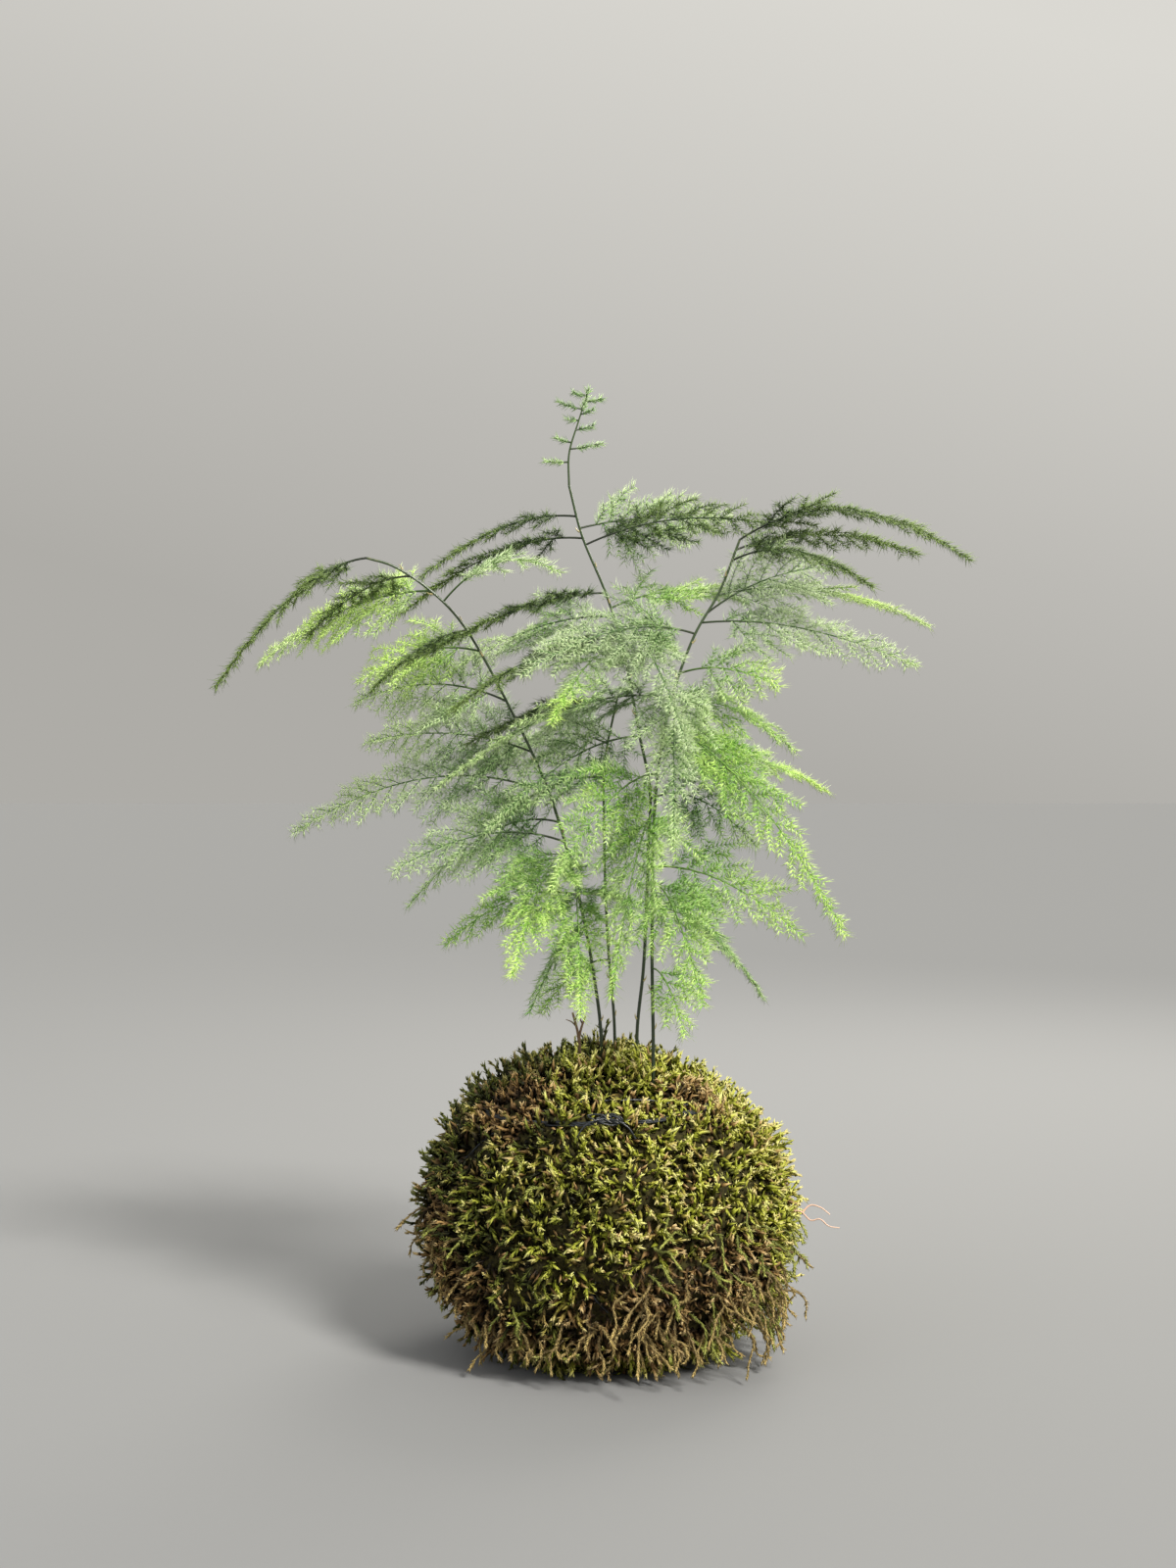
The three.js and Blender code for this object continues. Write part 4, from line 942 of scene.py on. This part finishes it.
tied = np.array([math.exp(-(np.linalg.norm(seen_band - p, axis=1).min() / TIED_WIDTH) ** 2) for p in skin])
dry = np.array([dryness(p) for p in skin])
high = np.clip((skin[:, 2] - TURN_Z) / TURN_RANGE, -1, 1)
sway = slow_drift(skin, 9, 41.5)
curl = slow_drift(skin, 3, 7.0)
droop = np.where(high > 0, CROWN_RISE * high, BELLY_DROOP * high)
wilt = DRY_DROOP * dry * (high < WILT_BELOW)
comb = ways * OUTWARD + sway * SWAY + curl * CURL + UP * droop[:, None] - UP * wilt[:, None]
comb = comb / np.linalg.norm(comb, axis=1)[:, None]
facing = np.clip(ways @ np.array(FRONT_WAY), 0, 1)
tall = 1 + 0.4 * np.array([slow_noise(p, 7, 5) for p in skin]) - TIED_SHARE * tied
tall = tall * (1 - DRY_SHARE * dry) * (1 - FRONT_SHARE * facing)
patchy = np.array([0.55 * slow_noise(p, 14, 2) + 0.6 * slow_noise(p, 5, 31) for p in skin])
# Golden in random patches, with painted light towards the right and front and painted shade on the left
gold_and_painted_light = np.clip(MEAN_GOLD + ways @ np.array(PAINTED_LIGHT_WAY) + patchy, 0, 1)
thinning = 0.5 * dry + 0.25 * np.maximum(-lumps - 0.8, 0)
cover = np.clip(1.3 + 0.8 * np.array([slow_noise(p, 5, 13) for p in skin]) - thinning, *COVER_LIMITS)


def skin_mesh(name):
    mesh = bpy.data.meshes.new(name)
    mesh.from_pydata([tuple(p * MM) for p in skin], [], [p.vertices[:] for p in sphere.data.polygons])
    for key, values in {"dry": dry, "tall": tall, "gold_and_painted_light": gold_and_painted_light, "cover": cover}.items():
        mesh.attributes.new(key, "FLOAT", "POINT").data.foreach_set("value", values.astype(np.float32))
    mesh.attributes.new("comb", "FLOAT_VECTOR", "POINT").data.foreach_set(
        "vector", comb.astype(np.float32).ravel())
    return mesh


print("dry share of the ball:", round(float(dry.mean()), 2))

# %% [markdown]
# Moss is not one surface but thousands of leafy shoots. Each shoot is a slim curved spindle with a few
# pointed leaves pressed along it. Three shoots of different bends, set at random turns and lengths, are
# enough for no two neighbours to look alike. Under them stands a shorter, plainer undergrowth, which
# fills the gaps. Each point of a shoot knows how far up it is, so that shoots can be dark at the foot and
# bright at the tip.

# %% Moss shoots as small shapes
def spindle(name, bend_by, stops, thickness, leaves, seed):
    """A bent three-sided spindle of unit height, with pointed leaves that lean off it."""
    dice = random.Random(seed)
    corners, faces, rise = [], [], []

    def centre(t):
        return np.array((bend_by * t * t, 0.12 * math.sin(3 * t), t))

    for t, girth in stops:
        for k in range(3):
            a = k * math.tau / 3 + t * 0.8
            corners.append(centre(t) + np.array((math.cos(a), math.sin(a), 0)) * girth * thickness)
            rise.append(t)
    faces.append((2, 1, 0))
    for j in range(len(stops) - 1):
        for k in range(3):
            a, b = 3 * j + k, 3 * j + (k + 1) % 3
            faces.extend([(a, b, b + 3), (a, b + 3, a + 3)])
    corners.append(centre(1.0))
    rise.append(1.0)
    last, top = 3 * len(stops) - 3, len(corners) - 1
    faces.extend((last + k, last + (k + 1) % 3, top) for k in range(3))
    for i in range(leaves):
        t = 0.12 + 0.74 * i / max(leaves - 1, 1)
        a = i * LEAF_TURN + dice.uniform(-0.4, 0.4)
        out = np.array((math.cos(a), math.sin(a), 0))
        across = np.array((-math.sin(a), math.cos(a), 0)) * thickness
        foot = centre(t) + out * thickness * 0.5
        tip = centre(min(t + 0.2, 1)) + out * thickness * dice.uniform(1.7, 2.5)
        first = len(corners)
        corners.extend([foot - across, foot + across, foot + (0, 0, 0.1), tip])
        rise.extend([t, t, t, min(t + 0.35, 1)])
        faces.extend([(first, first + 2, first + 1), (first, first + 1, first + 3),
                      (first + 1, first + 2, first + 3), (first + 2, first, first + 3)])
    mesh = bpy.data.meshes.new(name)
    mesh.from_pydata([tuple(c) for c in corners], [], faces)
    mesh.attributes.new("rise", "FLOAT", "POINT").data.foreach_set("value", rise)
    return bpy.data.objects.new(name, mesh)


SPINDLE = [(0.0, 0.8), (0.4, 1.0), (0.78, 0.75)]
SHORT_SPINDLE = [(0.0, 0.9), (0.55, 1.0)]
shoots = bpy.data.collections.new("leafy moss shoots")
for number, bend_by in enumerate((0.12, 0.35, 0.6)):
    shoots.objects.link(spindle(f"moss_shoot_{number}", bend_by, SPINDLE, 0.085, 7, 30 + number))
undergrowth = bpy.data.collections.new("short moss shoots")
for number, bend_by in enumerate((0.15, 0.4)):
    undergrowth.objects.link(spindle(f"moss_short_{number}", bend_by, SHORT_SPINDLE, 0.13, 1, 40 + number))

# %% [markdown]
# The moss rule scatters points over the skin no closer than a spacing, fewer where the cover is thin. On
# each it stands a shoot that follows the comb with some wander of its own, in a random length. What would
# go below the floor is pressed flat on it, as the weight of the ball does.

# %% The moss rule
moss_rule, given, result = new_rule("moss", {
    "Spacing": "Float", "Least length": "Float", "Most length": "Float", "Thickness": "Float",
    "Wander": "Float", "Lowest": "Float", "Seed": "Int", "Shoots": "Collection", "Kinds": "Int",
    "Skin": "Material",
})
# The most shoots on a square metre, far more than the spacing lets through
MOST_SHOOTS = 2.0e6


def moss_nodes(tree, given, result):
    add = partial(add_node, tree)
    port = given.outputs
    seeds = [add("ShaderNodeMath", {0: port["Seed"], 1: float(k)}, operation="ADD") for k in range(8)]
    cover = add("GeometryNodeInputNamedAttribute", {"Name": "cover"})
    points = add("GeometryNodeDistributePointsOnFaces", {
        "Mesh": port["Geometry"], "Distance Min": port["Spacing"], "Density Max": MOST_SHOOTS,
        "Density Factor": cover, "Seed": port["Seed"]}, distribute_method="POISSON")
    comb = add("GeometryNodeInputNamedAttribute", {"Name": "comb"}, data_type="FLOAT_VECTOR")
    along = add("FunctionNodeAlignRotationToVector", {"Vector": comb}, axis="Z")
    back = add("ShaderNodeMath", {0: port["Wander"], 1: -1.0}, operation="MULTIPLY")
    tilt_x, tilt_y = [add("FunctionNodeRandomValue", {"Min": back, "Max": port["Wander"], "Seed": seed})
                      for seed in seeds[1:3]]
    spin = add("FunctionNodeRandomValue", {"Min": 0.0, "Max": math.tau, "Seed": seeds[3]})
    tilt = add("FunctionNodeEulerToRotation", {
        "Euler": add("ShaderNodeCombineXYZ", {"X": tilt_x, "Y": tilt_y})})
    tilted = add("FunctionNodeRotateRotation", {
        "Rotation": along, "Rotate By": tilt}, rotation_space="LOCAL")
    roll = add("FunctionNodeEulerToRotation", {"Euler": add("ShaderNodeCombineXYZ", {"Z": spin})})
    rolled = add("FunctionNodeRotateRotation", {
        "Rotation": tilted, "Rotate By": roll}, rotation_space="LOCAL")
    tall = add("GeometryNodeInputNamedAttribute", {"Name": "tall"})
    odd = add("FunctionNodeRandomValue", {
        "Min": port["Least length"], "Max": port["Most length"], "Seed": seeds[4]})
    length = add("ShaderNodeMath", {0: odd, 1: tall}, operation="MULTIPLY")
    stout = add("FunctionNodeRandomValue", {"Min": 0.75, "Max": 1.25, "Seed": seeds[5]})
    width = add("ShaderNodeMath", {0: stout, 1: port["Thickness"]}, operation="MULTIPLY")
    shapes = add("GeometryNodeCollectionInfo", {
        "Collection": port["Shoots"], "Separate Children": True, "Reset Children": True})
    last_kind = add("ShaderNodeMath", {0: port["Kinds"], 1: 1.0}, operation="SUBTRACT")
    kind = add("FunctionNodeRandomValue", {"Min": 0, "Max": last_kind, "Seed": seeds[6]}, data_type="INT")
    scale = add("ShaderNodeCombineXYZ", {"X": width, "Y": width, "Z": length})
    stood = add("GeometryNodeInstanceOnPoints", {
        "Points": points.outputs["Points"], "Instance": shapes, "Pick Instance": True,
        "Instance Index": kind, "Rotation": rolled, "Scale": scale})
    shade = add("FunctionNodeRandomValue", {"Seed": seeds[7]})
    tinted = add("GeometryNodeStoreNamedAttribute", {
        "Geometry": stood, "Name": "shade", "Value": shade}, data_type="FLOAT", domain="INSTANCE")
    solid = add("GeometryNodeRealizeInstances", {"Geometry": tinted})
    smooth = add("GeometryNodeSetShadeSmooth", {"Geometry": lift_above(add, solid, port["Lowest"])})
    dressed = add("GeometryNodeSetMaterial", {"Geometry": smooth, "Material": port["Skin"]})
    feed(result, {"Geometry": dressed})


moss_nodes(moss_rule, given, result)
print("the moss rule has", len(moss_rule.nodes), "nodes")

# %% [markdown]
# Living moss is dark olive at the foot, where it is shaded and old, and yellow-green at its tips, where it
# catches the light. Leaves one cell thick are slightly glossy when damp. Dead moss is a dull brown. Each
# shoot's own shade, its height and the skin's golden and dry patches together pick the colour. The golden
# kind carries painted light at the right and front, and the deep kind painted shade on the left.

# %% Moss materials
MOSS_GREEN = [(0.0, "#1f1b06"), (0.3, "#4e5212"), (0.6, "#888d28"), (0.82, "#b2b44a"), (1.0, "#cdcb7e")]
# A darker moss green that also serves as painted shade on the side away from the light
MOSS_DEEP_AND_PAINTED_SHADE = [(0.0, "#100d04"), (0.3, "#212309"), (0.6, "#404713"), (0.82, "#696d2d"), (1.0, "#9a9962")]
MOSS_DRY = [(0.0, "#140d06"), (0.3, "#3a2a16"), (0.6, "#6a5230"), (0.82, "#96794a"), (1.0, "#bfa878")]


def moss_skin(name, lift=0.0, brown_from=0.42):
    """Moss green by shoot height, golden with painted light or deep with painted shade, with dry brown mixed
    in.
    """
    material, add, shader = new_material(name, 0.6, 0.22)
    rise, shade, gold_and_painted_light, dry = [add("ShaderNodeAttribute", attribute_name=label).outputs["Fac"]
                              for label in ("rise", "shade", "gold_and_painted_light", "dry")]
    # Painted light and shade: brighter where the skin is golden towards the light, and a whole layer darker
    # when its lift is below nought
    painted_light_level = add("ShaderNodeMath", {0: gold_and_painted_light, 1: 0.22, 2: lift - 0.28}, operation="MULTIPLY_ADD")
    level = add("ShaderNodeMath", {0: shade, 1: 0.34, 2: painted_light_level}, operation="MULTIPLY_ADD")
    height = add("ShaderNodeMath", {0: rise, 1: level}, operation="ADD", use_clamp=True)
    leaning = add("ShaderNodeMath", {0: shade, 1: 0.5, 2: gold_and_painted_light}, operation="MULTIPLY_ADD")
    golden = add("ShaderNodeMapRange", {"Value": leaning, "From Min": 0.35, "From Max": 0.95})
    wilt = add("ShaderNodeMath", {0: shade, 1: 0.6, 2: dry}, operation="MULTIPLY_ADD")
    withered = add("ShaderNodeMapRange", {
        "Value": wilt, "From Min": brown_from, "From Max": brown_from + 0.3})
    bright, deep, brown = [add("ShaderNodeValToRGB", {"Fac": height}, stops)
                           for stops in (MOSS_GREEN, MOSS_DEEP_AND_PAINTED_SHADE, MOSS_DRY)]
    greens = add("ShaderNodeMix", {"Factor": golden, "A": deep, "B": bright}, data_type="RGBA")
    colour = add("ShaderNodeMix", {"Factor": withered, "A": greens, "B": brown}, data_type="RGBA")
    feed(shader, {"Base Color": colour})
    return material


def earth_skin(name, dark, light, scale):
    """Damp crumbly earth and old moss: two browns in fine grains, with a strong bump."""
    material, add, shader = new_material(name, 0.9, 0.2)
    place = add("ShaderNodeTexCoord").outputs["Object"]
    grain = add("ShaderNodeTexNoise", {
        "Vector": place, "Scale": scale, "Detail": 6.0, "Roughness": 0.65}).outputs["Fac"]
    colour = add("ShaderNodeValToRGB", {"Fac": grain}, [(0.35, dark), (0.7, light)])
    bump = add("ShaderNodeBump", {"Height": grain, "Strength": 0.8, "Distance": 0.0008})
    feed(shader, {"Base Color": colour, "Normal": bump})
    return material


shoot_skin = moss_skin("damp leafy moss")
# The undergrowth's lift of -0.1 darkens it as painted shade under the taller shoots
short_skin = moss_skin("shaded moss undergrowth", -0.1, 0.2)
thatch_skin = earth_skin("dark thatch under the moss", "#1a1708", "#45401e", 700.0)
soil_skin = earth_skin("damp potting soil", "#1a120c", "#3f2c1d", 450.0)
for slot in bpy.data.objects["soil_core"].material_slots:
    slot.material = soil_skin

# %% Grow the moss
thatch = bpy.data.objects.new("moss_thatch", skin_mesh("moss_thatch"))
bpy.context.scene.collection.objects.link(thatch)
thatch.data.materials.append(thatch_skin)
thatch.data.shade_smooth()
keep(thatch, frame_slots["moss_wrap"], "moss_wrap")

MOSS_LAYERS = {
    "moss_shoots": {"Spacing": 2.09 * MM, "Least length": 5.5 * MM, "Most length": 9.5 * MM,
                    "Thickness": 6.0 * MM, "Wander": 0.7, "Seed": 11, "Shoots": shoots, "Kinds": 3,
                    "Skin": shoot_skin},
    "moss_undergrowth": {"Spacing": 1.45 * MM, "Least length": 3.2 * MM, "Most length": 6.0 * MM,
                         "Thickness": 4.8 * MM, "Wander": 0.7, "Seed": 23, "Shoots": undergrowth, "Kinds": 2,
                         "Skin": short_skin},
}
for name, values in MOSS_LAYERS.items():
    layer = grow(name, skin_mesh(name), moss_rule, {**values, "Lowest": FLOOR_GAP * MM})
    keep(layer, frame_slots["moss_wrap"], "moss_wrap")
bpy.data.objects.remove(sphere)
print("moss:", {k: v for k, v in total_triangles.items() if "moss" in k})

# %% [markdown]
# Old moss runners and fine roots have worked loose of the ball. They hang from the worn patch at the lower
# right, thinner and paler than the shoots, and reach down to the floor where it is near. Fewer stand off the
# left side and the back, green and tan, and one thin root stands out on the right.

# %% Hanging strands
STRAND_GROUPS = [
    # Colour, how many, compass range in degrees, height range, length range, radius
    ("tan", 56, (-84, -14), (10, 34), (8, 19), 0.3),
    ("tan", 26, (-140, -70), (6, 22), (5, 13), 0.26),
    ("tan", 44, (0, 230), (6, 34), (5, 13), 0.3),
    ("green", 54, (-85, -5), (8, 48), (5, 14), 0.3),
    ("tan", 12, (-200, -140), (28, 52), (8, 14), 0.3),
    ("green", 26, (-215, -110), (14, 66), (5, 12), 0.34),
    ("green", 26, (20, 160), (20, 66), (5, 11), 0.34),
]
STRAND_DEPTH, STRAND_STEPS, STRAND_WOBBLE, STRAND_TAPER = 1.5, 4, 0.6, 0.35
strand_wires = {"tan": Wire(), "green": Wire()}
dice = random.Random(5)
for kind, count, compass, heights, lengths, radius in STRAND_GROUPS:
    for _ in range(count):
        a = math.radians(dice.uniform(*compass))
        rise = (dice.uniform(*heights) - BALL_MIDDLE[2]) / BALL_BELLY
        way = unit(np.array((math.cos(a), math.sin(a), rise)))
        outward = unit(np.array((way[0], way[1], 0)))
        sideways = np.cross(UP, outward)
        length = dice.uniform(*lengths)
        start = ball_point(way, -STRAND_DEPTH)
        off, aside, down = dice.uniform(0.3, 1.1), dice.uniform(-0.7, 0.7), dice.uniform(0.1, 0.9)
        hang = unit(outward * off + sideways * aside - UP * down)
        if kind == "green":
            hang = unit(hang + UP * dice.uniform(-0.1, 0.7))
        points = [start]
        for _ in range(STRAND_STEPS):
            wobble = np.array([dice.uniform(-STRAND_WOBBLE, STRAND_WOBBLE) for _ in range(3)])
            points.append(points[-1] + unit(hang + wobble) * length / STRAND_STEPS)
            hang = unit(hang - UP * dice.uniform(0.1, 0.55) - outward * dice.uniform(-0.1, 0.35))
        strand_wires[kind].add(smooth_path(points, 10), (radius, radius * STRAND_TAPER), outward, leafy=1.0)

STRAND_COLOURS = {
    "tan": ("#4e3f22", "#a89258", "#e4d6a2"),
    "green": ("#5a6022", "#9ca04a", "#d2d294"),
}
for kind, wire in strand_wires.items():
    strand_skin = twig_skin(f"loose {kind} runner", *STRAND_COLOURS[kind], 0.6)
    strands = grow(f"moss_strands_{kind}", wire.mesh(f"moss_strands_{kind}"), twig_rule, {
        "Twig sides": 4, "Bunch spacing": 0.75 * MM, "Needles in a bunch": 3, "Needle length": 1.7 * MM,
        "Needle width": 0.5 * MM, "Spread": 1.5, "Least lean": 0.25, "Most lean": 0.7, "Seed": 7,
        "Lowest": FLOOR_GAP * MM, "Needle": cladode, "Twig skin": strand_skin, "Needle skin": strand_skin})
    keep(strands, frame_slots["moss_wrap"], "moss_wrap")

ROOT_LINES = [
    [(50, -8, 41), (54, -9, 41.5), (57, -9.5, 39), (59.5, -10, 39.5), (62, -10.5, 37.6), (65, -11, 37.2)],
    [(54.5, -9, 41), (57, -8, 43), (60, -8.6, 42.4), (62.5, -9, 40.5)],
]
root_skin = twig_skin("pale fine root", "#c9a08a", "#dcbca6", "#e6cfbd", 0.6)
wire = Wire()
for points in ROOT_LINES:
    wire.add(smooth_path(points, 24), (0.28, 0.16))
root_piece = grow("moss_fine_root", wire.mesh("moss_fine_root"), twig_rule, {
    **BARE, "Twig sides": 5, "Twig skin": root_skin, "Needle skin": root_skin})
keep(root_piece, frame_slots["moss_wrap"], "moss_wrap")

# %% [markdown]
# The ball is held together by thin black thread, wound round and round and tied at the upper front. Five
# turns lie close together in the band that shows, and two single ones slant down round the sides, deep in
# the moss. They all waver, as thread does on a soft ball, and come up to the surface near the knot. Spun
# polyester has a faint blue-grey sheen along its twisted strands: a real sheen in the shader, and lighter
# blue-grey ply bands in the colour as painted sheen.

# %% Binding thread
LOW_TURNS = [{"tilt": 52, "turn": 65, "rise": 4}, {"tilt": 50, "turn": 190, "rise": 3}]
THREAD = (0.24, 0.24)
BAND_SHIFTS = (-1.3, -0.6, 0.0, 0.5, 1.2)
TURN_STEPS = 140
# How deep the band and the low turns lie, how far they waver, and how far and how widely the knot lifts them
BAND_LIFT, LOW_LIFT, WAVER, KNOT_LIFT, KNOT_WIDTH = -2.1, -3.3, 1.3, 2.6, 11
KNOT_LOOPS, LOOP_POINTS = 7, 20
knot = band_line[np.argmin(np.linalg.norm(band_line - np.array((-1.0, -45, 78)), axis=1))]


def thread_turn(turn, shift, seed, lift):
    """A closed turn that wavers a little and rises and sinks with the moss."""
    points = []
    for a in np.linspace(0, math.tau, TURN_STEPS, endpoint=False):
        circle = Vector((math.cos(a) * 4, math.sin(a) * 4, seed))
        waver = noise.noise(circle) * WAVER
        way = ring_way(turn, a, shift + waver)
        bared = math.exp(-(np.linalg.norm(ball_point(way) - knot) / KNOT_WIDTH) ** 2)
        points.append(ball_point(way, lift + KNOT_LIFT * bared + noise.noise(circle * 3) * 0.5))
    return points


wire = Wire()
for number, shift in enumerate(BAND_SHIFTS):
    tipped = {**BAND, "tilt": BAND["tilt"] + shift * 0.5}
    wire.add(thread_turn(tipped, shift, 10.0 * number, BAND_LIFT), THREAD, closed=True)
for number, turn in enumerate(LOW_TURNS):
    wire.add(thread_turn(turn, 0, 50.0 + number, LOW_LIFT), THREAD, closed=True)

out_of_ball = unit(knot - BALL_MIDDLE)
level = unit(np.cross(UP, out_of_ball))
upward = np.cross(out_of_ball, level)
dice = random.Random(3)
for _ in range(KNOT_LOOPS):
    size = dice.uniform(1.2, 2.4)
    tip_over = dice.uniform(-0.6, 0.6)
    centre = knot + out_of_ball * 1.6 + level * dice.uniform(-2.5, 2.5) + upward * dice.uniform(-0.6, 0.6)
    round_loop = np.linspace(0, math.tau, LOOP_POINTS, endpoint=False)
    ring = [centre + level * size * 1.3 * math.cos(a) + upward * 0.6 * size * math.sin(a + tip_over)
            + out_of_ball * 0.5 * math.sin(2 * a) for a in round_loop]
    wire.add(ring, THREAD, closed=True)
for side in (-1, 1):
    end = [knot + out_of_ball * 1.8, knot + out_of_ball * 2.6 + level * side * 3 - upward * 1.0,
           knot + out_of_ball * 1.8 + level * side * 6 - upward * 2.6, knot + level * side * 8 - upward * 5]
    wire.add(smooth_path(end, 20), THREAD)


def thread_material():
    material, add, shader = new_material("spun black polyester thread", 0.38, 0.6)
    place = add("ShaderNodeTexCoord").outputs["Object"]
    ply_and_painted_sheen = add("ShaderNodeTexWave", {
        "Vector": place, "Scale": 500.0, "Distortion": 2.0}, bands_direction="DIAGONAL").outputs["Fac"]
    # Dark ply bands with lighter blue-grey ones as painted sheen
    colour = add("ShaderNodeValToRGB", {"Fac": ply_and_painted_sheen}, [(0.2, "#08090b"), (0.9, "#23282f")])
    feed(shader, {"Base Color": colour, "Sheen Weight": 0.12, "Sheen Tint": linear("#9fb4d0")})
    return material


thread_skin = thread_material()
thread = grow("binding_thread_turns", wire.mesh("binding_thread"), twig_rule, {
    **BARE, "Twig sides": 5, "Twig skin": thread_skin, "Needle skin": thread_skin})
keep(thread, frame_slots["binding_thread"], "binding_thread")

boxes = {"cad": [list(c) for c in cad_box], "visual": [list(c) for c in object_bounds()]}
print("sizes in mm:", {k: [[round(v * 1000, 1) for v in c] for c in b] for k, b in boxes.items()})
print("triangles:", sum(total_triangles.values()), total_triangles)
